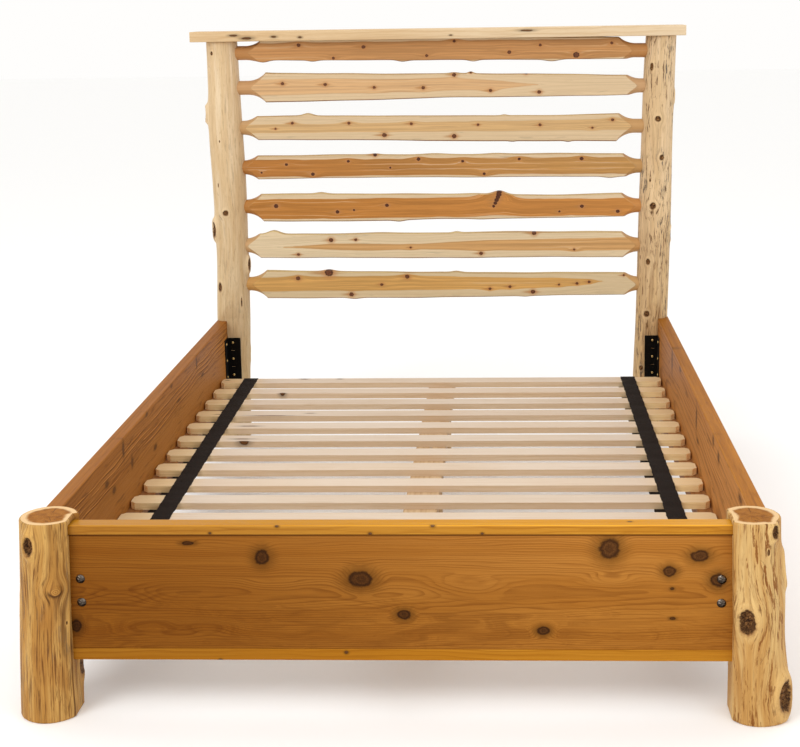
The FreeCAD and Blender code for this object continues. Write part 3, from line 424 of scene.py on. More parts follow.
def standing_log(
    name, centre, radius, high, line, knots, limit, seed, rings, around, materials
):
    """A peeled log from its centre line and its knots.

    line holds (height share, girth share, lean in x, lean in y), the leans in radii. A knot
    is (height, bearing, half width, half height, proud, hollow), a sawn stub has None for
    hollow. limit gives how far the sawn faces lie from the centre.
    """
    ease = np.linspace(0, math.pi / 2, 5)
    body = np.linspace(EDGE_ROUND, high - EDGE_ROUND, rings)[1:-1]
    heights = np.concatenate(
        [EDGE_ROUND * (1 - np.cos(ease)), body, high - EDGE_ROUND * (1 - np.sin(ease))]
    )
    inset = EDGE_ROUND * np.concatenate([1 - np.sin(ease), 0 * body, 1 - np.cos(ease)])
    columns = list(zip(*line))
    girth, lean_x, lean_y = (
        flowing(columns[0], columns[n], heights / high)[:, None] * radius for n in (1, 2, 3)
    )
    bearing = np.linspace(-math.pi, math.pi, around, endpoint=False)[None, :]
    tall = heights[:, None]
    reach = (
        girth
        * (
            1
            + 0.012 * np.sin(2 * bearing + seed)
            + 0.01 * ripple(bearing, tall, seed, (3, 4, 5, 7), 9)
        )
    )
    reach = reach + 0.0007 * ripple(bearing, tall, seed + 1, (17, 23, 31, 42, 57), 24)
    turned = bearing + 0.0 * tall
    nearest = {True: np.full((*turned.shape, 3), FAR), False: np.full((*turned.shape, 3), FAR)}
    for order, (at_height, at_bearing, wide, high_half, proud, hollow) in enumerate(knots):
        off = (bearing - math.radians(at_bearing) + math.pi) % (2 * math.pi) - math.pi
        across, upward = off * radius / wide, (tall - at_height) / high_half
        away = np.sqrt(across**2 + upward**2)
        stub = hollow is None
        core = 1 / (1 + np.exp((away - 1) * (16 if stub else 9)))
        lip = np.exp(-(((away - 1.35) / 0.45) ** 2))
        reach = (
            reach
            + proud
            * (0.45 * np.exp(-((away / 2.1) ** 2)) + (0.6 * core if stub else 0.5 * lip))
        )
        if not stub:
            flakes = np.sin(5 * across + order) * np.sin(6 * upward + 2 * order)
            reach = reach - hollow * (0.8 + 0.25 * flakes) / (1 + np.exp((away - 0.85) * 11))
        turned = turned - 0.85 * off * np.exp(-((across / 2.6) ** 2) - (upward / 2.2) ** 2)
        place = np.stack([across + 0 * upward, upward + 0 * across, 0 * away + order], axis=-1)
        closer = away < np.sqrt((nearest[stub][..., :2] ** 2).sum(-1))
        nearest[stub] = np.where(closer[..., None], place, nearest[stub])
    reach = np.minimum(reach, limit(bearing, tall, lean_x, lean_y)) - inset[:, None]
    x, y = (
        centre[0] + lean_x + reach * np.cos(bearing),
        centre[1] + lean_y + reach * np.sin(bearing),
    )
    side_rows = np.stack([x, y, tall + 0 * bearing], axis=-1)
    shrink = np.linspace(1, 0, END_RINGS + 2)[1:-1]

    def end(at):
        row = side_rows[at]
        middle = np.array(
            [centre[0] + float(lean_x[at, 0]), centre[1] + float(lean_y[at, 0]), row[0, 2]]
        )
        rows = np.array([middle + (row - middle) * factor for factor in shrink])
        depth = (1 - shrink)[:, None] * np.linalg.norm(row - middle, axis=1)[None, :]
        return rows, depth

    (bottom, bottom_depth), (top, top_depth) = end(0), end(-1)
    rows = np.concatenate([bottom[::-1], side_rows, top])
    grain = np.stack(
        [radius * np.cos(turned), radius * np.sin(turned), tall + 0 * bearing], axis=-1
    )
    blank = np.full((END_RINGS, around, 3), FAR)
    fields = {
        "grain": np.concatenate([rows[:END_RINGS], grain, rows[-END_RINGS:]]),
        "knot": np.concatenate([blank, nearest[False], blank]),
        "stub": np.concatenate([blank, nearest[True], blank]),
        "depth": np.concatenate([bottom_depth[::-1], 0 * reach, top_depth]),
    }
    return skin(name, rows, fields, END_RINGS, materials)


def peeled_log(
    name,
    seed,
    tones,
    streaks=1.0,
    dashes=0.5,
    chips=0.0,
    stain=0.0,
    browning=0.0,
    lips=0.4,
    tints=None,
):
    """Peeled cedar: long streaks of cream, honey and brown that flow round the knots.

    dashes are thin dark marks, chips broad ones with crisp ends, stain is blue-grey and
    browning the brown patches that thicken from 0.95 m down to 0.6 m. tints shift the
    colour at the foot and at the top.
    """
    pale, honey, brown = tones
    deep = tuple(0.4 * c for c in brown)
    finish = Finish(name, rough=0.5, gloss=0.12)
    grain = finish.vector(
        "ADD", finish.attribute("grain")["Vector"], (seed * 0.37, seed * 0.11, seed * 0.53)
    )
    height = finish.parts(finish.spot)[2]

    def streak(wide, tall, shift=(0, 0, 0), detail=3, rough=0.62, bend=0.0):
        return finish.cloud(
            finish.mapped(grain, (wide, wide, tall), shift), 1, detail, rough, bend
        )

    broad, medium, thin = (
        streak(30, 2.4), streak(95, 3.6, detail=4, rough=0.68), streak(240, 8, detail=4)
    )
    short, fibre = streak(185, 24, bend=0.3), streak(520, 12, rough=0.7)
    chip = streak(85, 13, (2, 5, 1), 5, 0.65, 0.2)
    patch, other = streak(13, 5, detail=2), streak(17, 6, (4, 7, 2), 2)
    wood = finish.blend(finish.step(broad, 0.38, 0.6), pale, honey)
    olive = (0.85 * honey[0], 0.72 * honey[1], 0.6 * honey[2])
    wood = finish.blend(
        finish.times(finish.step(other, 0.5, 0.66), 0.42 * streaks), wood, olive
    )
    layers = (
        (medium, 0.5, 0.62, patch, 0.36, 0.6, 0.62 * streaks, brown),
        (medium, 0.39, 0.34, patch, 0.6, 0.42, 0.6 * streaks, brown),
        (thin, 0.53, 0.62, other, 0.38, 0.56, 0.75 * streaks, brown),
        (medium, 0.61, 0.66, other, 0.4, 0.6, 0.75 * streaks, deep),
        (thin, 0.4, 0.35, patch, 0.4, 0.56, 0.7 * streaks, deep),
        (chip, 0.56, 0.6, other, 0.42, 0.56, chips, brown),
        (short, 0.56, 0.61, patch, 0.62, 0.46, dashes, brown),
        (short, 0.62, 0.66, patch, 0.62, 0.46, dashes, deep),
    )
    for value, low, high, place, place_low, place_high, strength, tone in layers:
        share = finish.times(
            finish.step(value, low, high), finish.step(place, place_low, place_high, 0.15, 1.0)
        )
        wood = finish.blend(finish.times(share, strength), wood, tone)
    wood = finish.blend(finish.step(fibre, 0.25, 0.75, 0.25, 0.0), wood, brown, "MULTIPLY")
    if stain:
        blue, region = streak(140, 17, detail=4, rough=0.7), streak(15, 2.6, (3, 1, 5), 2)
        share = finish.times(finish.step(blue, 0.54, 0.61), finish.step(region, 0.44, 0.56))
        wood = finish.blend(finish.times(share, stain), wood, (0.1, 0.08, 0.06))
    if browning:
        share = finish.times(
            finish.step(height, 0.95, 0.6), finish.step(medium, 0.36, 0.6, 0.3, 1.0)
        )
        wood = finish.blend(finish.times(share, browning), wood, brown)
    if tints:
        wood = finish.fade(wood, height, 0.1, 1.35, *tints)
    across, upward, _ = finish.parts(finish.attribute("knot")["Vector"])
    away = finish.vector("LENGTH", finish.join(across, upward, 0.0))
    ragged = finish.minus(finish.cloud(finish.spot, 110, 3, 0.65), 0.5)
    away = finish.plus(away, finish.times(ragged, 0.8))
    rim = finish.times(finish.step(away, 1.0, 1.2), finish.step(away, 2.3, 1.4))
    wood = finish.blend(finish.times(rim, lips), wood, tuple(1.1 * c for c in pale))
    folds = finish.calc("SINE", finish.times(away, 24.0))
    wood = finish.blend(finish.times(rim, finish.step(folds, 0.3, 1.0, 0.0, 0.35)), wood, honey)
    flakes = finish.cloud(finish.spot, 210, 4, 0.75)
    black, rust = (0.035, 0.015, 0.006), (0.22, 0.095, 0.03)
    core = finish.blend(finish.step(flakes, 0.4, 0.54), black, rust)
    core = finish.blend(finish.step(flakes, 0.55, 0.64), core, (0.4, 0.22, 0.08))
    core = finish.blend(finish.step(away, 0.5, 0.9, 0.0, 0.5), core, black)
    under = finish.times(finish.step(away, 1.6, 1.0), finish.step(upward, 0.7, -0.9, 0.25, 1.0))
    wood = finish.blend(finish.times(under, 0.75), wood, rust)
    wood = finish.blend(finish.step(away, 1.1, 0.92), wood, core)
    side, rise, _ = finish.parts(finish.attribute("stub")["Vector"])
    radius = finish.vector("LENGTH", finish.join(side, rise, 0.0))
    # Painted shade: a dark crescent just below each proud sawn stub.
    under = finish.times(finish.step(rise, 0.3, -0.9), finish.step(radius, 2.0, 1.1))
    under = finish.times(under, finish.step(radius, 0.85, 1.05))
    wood = finish.blend(finish.times(under, 0.92), wood, deep)
    turns = finish.calc("SINE", finish.times(radius, 19.0))
    sawn = finish.blend(finish.step(turns, -1.0, 1.0, 0.0, 0.6), honey, brown)
    wood = finish.blend(finish.step(radius, 0.82, 0.72), wood, sawn)
    ridges = finish.plus(finish.times(thin, 0.6), finish.times(fibre, 0.4))
    crust = finish.times(flakes, finish.step(away, 0.9, 1.1, 2.6, 0.0))
    normal = finish.bump(finish.plus(ridges, crust), 0.0024, 0.9)
    return finish.done(wood, finish.step(fibre, 0.2, 0.8, 0.45, 0.65), normal)


YEAR_RING = 0.0034
DRYING_CHECKS = 11


def end_grain(name, centre, sap_width, tones):
    """A sawn log end: rings that follow its outline, pale sapwood and fine radial checks."""
    sap, heart, line = tones
    finish = Finish(name, rough=0.62, gloss=0.05)
    x, y, _ = finish.parts(finish.vector("SUBTRACT", finish.spot, (*centre, 0)))
    flat = finish.join(x, y, 0.0)
    wobble = finish.minus(finish.cloud(flat, 38, 3), 0.5)
    depth = finish.plus(finish.attribute("depth")["Fac"], finish.times(wobble, 0.012))
    late = finish.calc(
        "POWER", finish.calc("FRACT", finish.calc("DIVIDE", depth, YEAR_RING)), 3.0
    )
    heart_wood = finish.blend(finish.times(late, 0.45), heart, line)
    heart_wood = finish.blend(
        finish.step(finish.cloud(flat, 60, 3), 0.4, 0.65, 0.0, 0.6), heart_wood, line
    )
    sap_wood = finish.blend(finish.times(late, 0.2), sap, heart)
    wood = finish.blend(
        finish.step(depth, sap_width - 0.005, sap_width + 0.004), sap_wood, heart_wood
    )
    spoke = finish.times(finish.calc("ARCTAN2", y, x), DRYING_CHECKS / 2)
    spoke = finish.cloud(finish.join(spoke, finish.times(depth, 12.0), 0.0), 1.0, 2)
    check = finish.times(
        finish.step(spoke, 0.6, 0.63), finish.step(depth, sap_width, sap_width + 0.008)
    )
    check = finish.times(check, finish.step(finish.vector("LENGTH", flat), 0.002, 0.008))
    wood = finish.blend(finish.times(check, 0.6), wood, (0.1, 0.04, 0.015))
    fuzz = finish.cloud(finish.spot, 900, 3, 0.7)
    height = finish.minus(finish.plus(finish.times(late, 0.4), fuzz), check)
    return finish.done(wood, None, finish.bump(height, 0.0008, 0.6))


def box_limit(centre, bearing, lean_x, lean_y):
    """Keeps bumps inside the whole bed's box."""
    inside_y = (centre[1] + lean_y - cad_box[0][1]) / np.maximum(-np.sin(bearing), 1e-3)
    out = math.copysign(1, centre[0]) * np.cos(bearing)
    inside_x = (cad_box[1][0] - abs(centre[0] + lean_x)) / np.maximum(out, LEAST_TURN)
    return np.minimum(inside_x, inside_y)


def foot_limit(side):
    """The flat towards the footboard, the laps over its ends and the seat for the rail."""
    lap_front, lap_behind = FOOT_LAPS[side]

    def limit(bearing, tall, lean_x, lean_y):
        inward = -side * np.cos(bearing)
        back = np.sin(bearing)
        turn = np.arctan2(back, inward)
        reach = FOOT_X - FOOT_FLAT_X + side * lean_x
        board_y = np.where(tall > TRIM_LOW_Z, TRIM_CLEAR_Y, PANEL_CLEAR_Y)
        before = np.arctan2(board_y - FOOT_Y - lean_y, reach)
        behind = np.arctan2(TRIM_BACK_Y - FOOT_Y - lean_y, reach)
        low, high = LAP_HEIGHTS
        grown = lap_front * np.clip((tall - low) / (high - low), 0, 1)
        lap = np.where((turn < before) | (tall > TRIM_TOP_Z + TRIM_CLEAR), grown, 0)
        lap = np.where((turn > behind) & (tall > FOOT_FLAT_TOP_Z), lap_behind, lap)
        flat = np.where(
            inward > LEAST_TURN, (reach + lap) / np.maximum(inward, LEAST_TURN), FAR
        )
        deep = (FOOT_SEAT_Y - FOOT_Y - lean_y) / np.maximum(back, LEAST_TURN)
        beside = (tall > RAIL_LOW_Z - 0.012) & (tall < RAIL_TOP_Z + 0.004)
        seat = np.where((back > LEAST_TURN) & beside, deep, FAR)
        outside = box_limit((side * FOOT_X, FOOT_Y), bearing, lean_x, lean_y)
        return np.minimum(np.minimum(flat, seat), outside)

    return limit


FOOT_LINES = {
    "left": (
        (0.0, 1.05, -0.15, 0.05),
        (0.2, 1.03, -0.11, 0.05),
        (0.42, 1.0, -0.06, 0.06),
        (0.62, 1.0, 0.03, 0.08),
        (0.82, 0.975, 0.1, 0.04),
        (1.0, 0.965, 0.14, 0.04),
    ),
    "right": (
        (0.0, 1.03, 0.1, 0.04),
        (0.18, 1.01, 0.08, 0.05),
        (0.4, 0.985, -0.02, 0.05),
        (0.6, 0.98, -0.06, 0.05),
        (0.8, 0.97, -0.2, 0.03),
        (1.0, 0.95, -0.22, 0.03),
    ),
}
# (height, bearing, half width, half height, proud, hollow), bearings in degrees from +x
# round to +y. A hollow of None makes a sawn branch stub.
FOOT_KNOTS = {
    "left": (
        (0.408, -113, 0.011, 0.0195, 0.012, 0.011),
        (0.307, -66, 0.0108, 0.0108, 0.014, None),
        (0.225, -42, 0.0022, 0.0042, 0.0, 0.002),
        (0.255, -170, 0.014, 0.019, 0.001, 0.001),
        (0.160, 120, 0.013, 0.018, 0.004, 0.002),
        (0.095, 30, 0.016, 0.024, 0.012, 0.0),
    ),
    "right": (
        (0.437, -52, 0.0085, 0.0135, 0.011, 0.004),
        (0.392, -63, 0.003, 0.006, 0.0, 0.003),
        (0.335, 8, 0.016, 0.030, 0.010, 0.0),
        (0.240, -111, 0.0155, 0.026, 0.009, 0.012),
        (0.062, -40, 0.020, 0.033, 0.013, 0.012),
        (0.200, 40, 0.014, 0.019, 0.004, 0.002),
    ),
}
FOOT_TONES = {
    "left": ((0.62, 0.36, 0.105), (0.45, 0.22, 0.048), (0.15, 0.052, 0.01)),
    "right": ((0.7, 0.47, 0.19), (0.56, 0.31, 0.093), (0.25, 0.09, 0.016)),
}
# Streaks, dashes, chips and stain.
FOOT_WEAR = {"left": (1.15, 0.35, 0.12, 0.35), "right": (0.4, 0.6, 0.95, 0.0)}
FOOT_END_TONES = ((0.76, 0.52, 0.27), (0.375, 0.15, 0.028), (0.2, 0.065, 0.012))
for side_name, side in SIDES:
    centre = (side * FOOT_X, FOOT_Y)
    line = FOOT_LINES[side_name]
    bark = peeled_log(
        f"foot_log_{side_name}", side + 3, FOOT_TONES[side_name], *FOOT_WEAR[side_name]
    )
    pith = (centre[0] + line[-1][2] * FOOT_RADIUS, FOOT_Y)
    sawn = end_grain(f"foot_log_end_{side_name}", pith, sap_width=0.0125, tones=FOOT_END_TONES)
    post = standing_log(
        f"foot_log_{side_name}",
        centre,
        FOOT_RADIUS,
        FOOT_TOP_Z,
        line,
        FOOT_KNOTS[side_name],
        foot_limit(side),
        seed=side + 5,
        rings=230,
        around=220,
        materials=(bark, sawn),
    )
    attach(post, "root")
    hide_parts(f"foot_post_{side_name}")

# Foot panel
# One wide cedar board on edge between the foot posts, oiled, with cathedral grain and
# scattered dark knots.
PANEL_FRONT_Y = -1.10275


def sawn_board(
    name,
    seed,
    tones,
    plane,
    pith,
    knots=(),
    squash=0.12,
    band=0.011,
    late_share=0.5,
    satin=0.45,
    **looks,
):
    """A sawn board. plane names its three axes: along the grain, across the face, depth.

    pith is where the middle of the growth rings lies on those axes, and squash how flat the
    rings are drawn along the grain. looks may hold tints, the colour's shift from one end
    of the board to the other (low, high, low tint, high tint), faces, the painted light on
    its faces: the tints of its upper and lower faces, its sides and its ends, saw, how high
    up the saw left its ridges, with painted shade in the grooves beneath them, planed, the
    heights between which the plane took the grain's contrast away, ticks, the strength of
    short dark marks, wander, how far the grain swings, eyes, knots deep in the board that
    only bend the grain, rises, the shift of colour across the board, core, the dark and the
    light of its knots, rubbed, the height and the depth from which its upper
    front edge gets a painted highlight, with the tint, tips, the painted light at both ends
    of the board (start, full, upper face, sides), edge_shadow, the heights between which it
    darkens under its trim, and gloss.
    """
    pale, middle, dark = tones
    finish = Finish(name, rough=satin, gloss=looks.get("gloss", 0.05))
    axes = dict(zip("xyz", finish.parts(finish.spot)))
    along, across, depth = (axes[axis] for axis in plane)
    facing = finish.parts(finish.add("ShaderNodeTexCoord").outputs["Normal"])
    upward, lengthways = (
        finish.calc("ABSOLUTE", facing["XYZ".index(axis)]) for axis in ("Z", plane[0].upper())
    )
    upward = finish.step(upward, 0.3, 0.8)
    distance, heap = knots_of(finish, finish.spot, knots) if knots else (None, 0.0)
    if "eyes" in looks:
        heap = finish.plus(heap, knots_of(finish, finish.spot, looks["eyes"])[1])
    run, rise, sink = (finish.minus(axis, at) for axis, at in zip((along, across, depth), pith))

    def grain(
        along_scale, across_scale, detail=3, rough=0.55, shift=0.0, base=across, deep=0.0
    ):
        """A cloud drawn out along the board."""
        place = finish.join(
            finish.times(along, along_scale),
            finish.times(base, across_scale),
            finish.times(depth, deep) if deep else seed + shift,
        )
        return finish.cloud(place, 1, detail, rough)

    wave = finish.times(finish.minus(grain(1.7, 11), 0.5), looks.get("wander", 0.045))
    radius = finish.vector("LENGTH", finish.join(finish.times(run, squash), rise, sink))
    field = finish.plus(finish.plus(radius, wave), heap)
    phase = finish.calc("DIVIDE", field, band)
    uneven = finish.cloud(finish.join(phase, 0.0, seed), 0.45, 1)
    ring = finish.calc("FRACT", finish.plus(phase, finish.times(uneven, 1.4)))
    late = finish.times(finish.step(ring, 0.42, 0.92), finish.step(ring, 0.92, 1.0, 1.0, 0.0))
    late = finish.times(late, finish.step(grain(2.2, 40, shift=2), 0.35, 0.6, 0.35, 1.0))
    if "planed" in looks:
        late = finish.times(late, finish.step(across, *looks["planed"], 0.3, 1.0))
    if "faces" in looks:
        late = finish.times(late, finish.minus(1.0, finish.times(upward, 0.92)))
    follows = finish.plus(field, across)
    wide = grain(0.8, 0.13, base=phase, shift=9)
    if "faces" in looks:
        drawn = finish.minus(grain(1.4, 120, 3, 0.6, 11, base=depth), wide)
        wide = finish.plus(wide, finish.times(drawn, upward))
    fibre = grain(6, 800, 4, 0.7, base=follows, deep=800)
    flecks = grain(32, 600, 2, base=follows, deep=600)
    lines = grain(3, 230, 3, 0.6, base=follows, deep=230)
    wood = finish.blend(finish.step(wide, 0.3, 0.7), pale, middle)
    wood = finish.blend(finish.times(late, late_share), wood, dark)
    wood = finish.blend(finish.step(lines, 0.5, 0.68, 0.0, 0.3), wood, dark)
    wood = finish.blend(finish.step(fibre, 0.3, 0.7, 0.28, 0.0), wood, dark)
    wood = finish.blend(finish.step(flecks, 0.6, 0.75, 0.0, 0.2), wood, dark)
    height = finish.plus(finish.times(late, 0.3), finish.times(fibre, 0.7))
    if "saw" in looks:
        swing = finish.times(finish.minus(grain(1.7, 2, 2, shift=4), 0.5), 0.07)
        level = finish.plus(across, swing)
        combs = grooves = 0.0
        for at in looks["saw"]:
            off = finish.calc("ABSOLUTE", finish.minus(level, at))
            under = finish.calc("ABSOLUTE", finish.minus(level, at - 0.0045))
            combs = finish.calc("MAXIMUM", finish.step(off, 0.0021, 0.0008), combs)
            grooves = finish.calc("MAXIMUM", finish.step(under, 0.0035, 0.0012), grooves)
        whole = finish.step(grain(2.4, 60, 2, shift=8), 0.36, 0.5, 0.2, 1.0)
        combs, grooves = (finish.times(marks, whole) for marks in (combs, grooves))
        wood = finish.blend(finish.times(combs, 0.8), wood, tuple(1.3 * c for c in pale))
        # Painted shade: the grooves beneath the ridges are painted darker.
        wood = finish.blend(finish.times(grooves, 0.5), wood, dark)
        height = finish.plus(height, finish.times(finish.minus(combs, grooves), 2.5))
    if "ticks" in looks:
        ticks = finish.times(finish.step(grain(8, 75, 2, 0.5, 6), 0.64, 0.7), looks["ticks"])
        ticks = finish.times(ticks, finish.minus(1.0, upward))
        wood = finish.blend(ticks, wood, tuple(0.7 * c for c in dark))
    if knots:
        ragged = finish.minus(finish.cloud(finish.spot, 60, 3, 0.6), 0.5)
        distance = finish.plus(distance, finish.times(ragged, 0.8))
        core = looks.get("core", ((0.045, 0.016, 0.005), (0.2, 0.085, 0.025)))
        halo = tuple(0.42 * c for c in middle)
        wood = knot_colours(
            finish, wood, distance, *core, halo, halo_strength=0.85, rings=6.5, soft=0.75
        )
    if "tints" in looks:
        wood = finish.fade(wood, along, *looks["tints"])
    if "rises" in looks:
        wood = finish.fade(wood, across, *looks["rises"])
    # Painted light at both ends of the board, on its level and upright faces.
    if "tips" in looks:
        start, full, level, upright = looks["tips"]
        tint = finish.blend(upward, upright, level)
        tint = finish.blend(
            finish.step(finish.calc("ABSOLUTE", along), start, full), (1, 1, 1), tint
        )
        wood = finish.blend(1.0, wood, tint, "MULTIPLY")
    # Painted light: level faces, upright sides and ends each take their own tint.
    if "faces" in looks:
        level, upright, end = looks["faces"]
        tint = finish.blend(upward, upright, level)
        tint = finish.blend(finish.step(lengthways, 0.4, 0.6), tint, end)
        wood = finish.blend(1.0, wood, tint, "MULTIPLY")
    # A painted highlight along the upper front edge and the front of the top face.
    if "rubbed" in looks:
        edge_z, edge_y, tint = looks["rubbed"]
        on_front = finish.times(
            finish.step(across, edge_z, edge_z + 0.0015), finish.minus(1.0, upward)
        )
        on_top = finish.times(finish.step(depth, edge_y, edge_y - 0.004), upward)
        share = finish.times(
            finish.plus(on_front, on_top), finish.step(along, -0.8, 0.6, 0.35, 1.0)
        )
        wood = finish.blend(share, wood, finish.blend(1.0, wood, tint, "MULTIPLY"))
    if "edge_shadow" in looks:
        edge = finish.step(across, *looks["edge_shadow"])
        wood = finish.blend(finish.times(edge, 0.75), wood, tuple(0.35 * c for c in dark))
    normal = finish.bump(height, 0.0006, 0.7)
    return finish.done(wood, finish.step(fibre, 0.2, 0.8, satin - 0.06, satin + 0.1), normal)


def paint(node, material):
    """Gives a node of the frame one material."""
    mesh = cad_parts[node].data
    mesh.materials.clear()
    mesh.materials.append(material)
    mesh.polygons.foreach_set("material_index", np.zeros(len(mesh.polygons), np.int32))


# Knots as (x, z, half length, half height, how far they push the grain).
PANEL_KNOTS = (
    (-0.295, 0.368, 0.015, 0.016, 0.014),
    (-0.082, 0.318, 0.024, 0.017, 0.026),
    (-0.455, 0.400, 0.012, 0.004, 0.005),
    (-0.711, 0.209, 0.011, 0.013, 0.012),
    (0.455, 0.387, 0.021, 0.021, 0.020),
    (0.648, 0.371, 0.018, 0.012, 0.014),
    (0.584, 0.336, 0.013, 0.011, 0.012),
    (0.687, 0.316, 0.015, 0.014, 0.014),
    (0.011, 0.237, 0.013, 0.010, 0.012),
    (0.313, 0.200, 0.013, 0.009, 0.022),
    (0.592, 0.229, 0.006, 0.003, 0.003),
    (0.590, 0.297, 0.004, 0.003, 0.002),
)
panel_knots = [
    ((x, PANEL_FRONT_Y, z), (long, 0.03, high), push) for x, z, long, high, push in PANEL_KNOTS
]
PANEL_EYES = (
    (-0.603, 0.287, 0.045, 0.016, 0.013),
    (-0.416, 0.205, 0.030, 0.009, 0.014),
    (-0.275, 0.307, 0.035, 0.007, 0.012),
    (0.455, 0.317, 0.028, 0.009, 0.014),
    (0.155, 0.305, 0.045, 0.012, 0.016),
    (-0.548, 0.207, 0.040, 0.010, 0.014),
)
panel_eyes = [
    ((x, PANEL_FRONT_Y, z), (long, 0.03, high), push) for x, z, long, high, push in PANEL_EYES
]
PANEL_TONES = ((0.46, 0.18, 0.026), (0.39, 0.14, 0.016), (0.16, 0.042, 0.003))
PANEL_TINTS = (-0.75, 0.55, (0.54, 0.47, 0.3), (0.97, 0.99, 1.12))
PANEL_RISES = (0.22, 0.42, (0.92, 0.93, 0.88), (1.13, 1.2, 1.4))
PANEL_CORE = ((0.026, 0.008, 0.0015), (0.12, 0.042, 0.008))
panel_wood = sawn_board(
    "foot_panel",
    seed=4,
    tones=PANEL_TONES,
    plane="xzy",
    pith=(-0.616, 0.288, -1.12),
    knots=panel_knots,
    squash=0.036,
    band=0.0052,
    late_share=0.5,
    tints=PANEL_TINTS,
    rises=PANEL_RISES,
    core=PANEL_CORE,
    edge_shadow=(0.4142, 0.4185),
    eyes=panel_eyes,
)
paint("foot_panel", panel_wood)

# Foot trims
# Golden strips grooved over the panel's upper and lower edge, varnished.
TRIM_TONES = ((0.56, 0.25, 0.02), (0.5, 0.2, 0.01), (0.3, 0.095, 0.002))
top_knots = [
    ((x, y, z), (r, 0.7 * r, 0.7 * r), 0.0015)
    for x, y, z, r in (
        (-0.259, -1.1085, 0.441, 0.0035),
        (-0.058, -1.1085, 0.424, 0.0035),
        (0.183, -1.1085, 0.424, 0.003),
        (0.50, -1.085, 0.442, 0.004),
        (-0.405, -1.1085, 0.425, 0.003),
        (0.077, -1.107, 0.441, 0.004),
    )
]
TRIM_TINTS = (-0.75, 0.5, (0.76, 0.72, 0.68), (1.1, 1.12, 1.05))
LOW_TRIM_TINTS = (-0.75, 0.3, (0.62, 0.58, 0.66), (0.88, 0.87, 1.08))
# Painted light on the top trim's faces: level faces painted lighter and more golden, upright
# faces darker and bluer, ends unchanged.
TRIM_FACE_LIGHT = ((1.13, 1.2, 0.88), (0.88, 0.9, 1.24), (1, 1, 1))
# A painted highlight along the upper front edge: from this height and depth on, and its tint.
TRIM_EDGE_HIGHLIGHT = (0.4385, -1.1025, (1.28, 1.36, 2.3))
top_trim = sawn_board(
    "foot_top_trim",
    seed=6,
    tones=TRIM_TONES,
    plane="xzy",
    pith=(0.3, 0.46, -1.14),
    knots=top_knots,
    squash=0.02,
    band=0.008,
    late_share=0.5,
    satin=0.34,
    tints=TRIM_TINTS,
    faces=TRIM_FACE_LIGHT,
    rubbed=TRIM_EDGE_HIGHLIGHT,
    gloss=0.12,
)
paint("foot_top_trim", top_trim)
low_knots = [
    ((-0.117, PANEL_CLEAR_Y, 0.150), (0.0035, 0.01, 0.003), 0.003),
    ((-0.395, PANEL_CLEAR_Y, 0.132), (0.003, 0.01, 0.002), 0.002),
]
low_trim = sawn_board(
    "foot_bottom_trim",
    seed=8,
    tones=TRIM_TONES,
    plane="xzy",
    pith=(-0.2, 0.11, -1.13),
    knots=low_knots,
    squash=0.02,
    band=0.008,
    late_share=0.5,
    satin=0.36,
    tints=LOW_TRIM_TINTS,
)
paint("foot_bottom_trim", low_trim)

# Coach bolts, panel angles and their screws
# Four bolts with hammered dark heads pass through the panel into steel angles behind it.
BOLT_X = 0.696
BOLT_HEIGHTS = (0.264, 0.318)
BOLT_HEAD_RADIUS = 0.0102
BOLT_HEAD_HEIGHT = 0.0058
BOLT_SHANK_RADIUS = 0.004
BOLT_END_Y = -1.0627


def metal(name, tone, rough, metallic=1.0, dents=0.0, scratch=0.15, gloss=0.5, rubbed=None):
    """A worked metal surface with fine scratches and, where asked, hammer marks.

    rubbed is the brighter tone painted on the upper side as a painted
    highlight; the lower side is then painted near black as painted shade.
    """
    finish = Finish(name, rough=rough, metal=metallic, gloss=gloss)
    fine = finish.cloud(finish.spot, 900, 4, 0.65)
    broad = finish.cloud(finish.spot, 160, 2)
    colour = finish.blend(
        finish.step(broad, 0.3, 0.7, 0.0, 0.4), tone, tuple(0.6 * c for c in tone)
    )
    colour = finish.blend(
        finish.step(fine, 0.6, 0.75, 0.0, scratch),
        colour,
        tuple(min(1, 1.8 * c + 0.05) for c in tone),
    )
    # A painted highlight on the upper side and painted shade, near black, on the lower side.
    if rubbed:
        skyward = finish.parts(finish.add("ShaderNodeTexCoord").outputs["Normal"])[2]
        colour = finish.blend(finish.step(skyward, -0.1, 0.6), colour, rubbed)
        colour = finish.blend(
            finish.step(skyward, 0.0, -0.5, 0.0, 0.75), colour, (0.004, 0.003, 0.003)
        )
    height = finish.plus(finish.times(fine, 0.3), finish.times(broad, dents))
    return finish.done(
        colour,
        finish.step(fine, 0.3, 0.8, rough - 0.08, rough + 0.12),
        finish.bump(height, 0.0004, 0.6),
    )


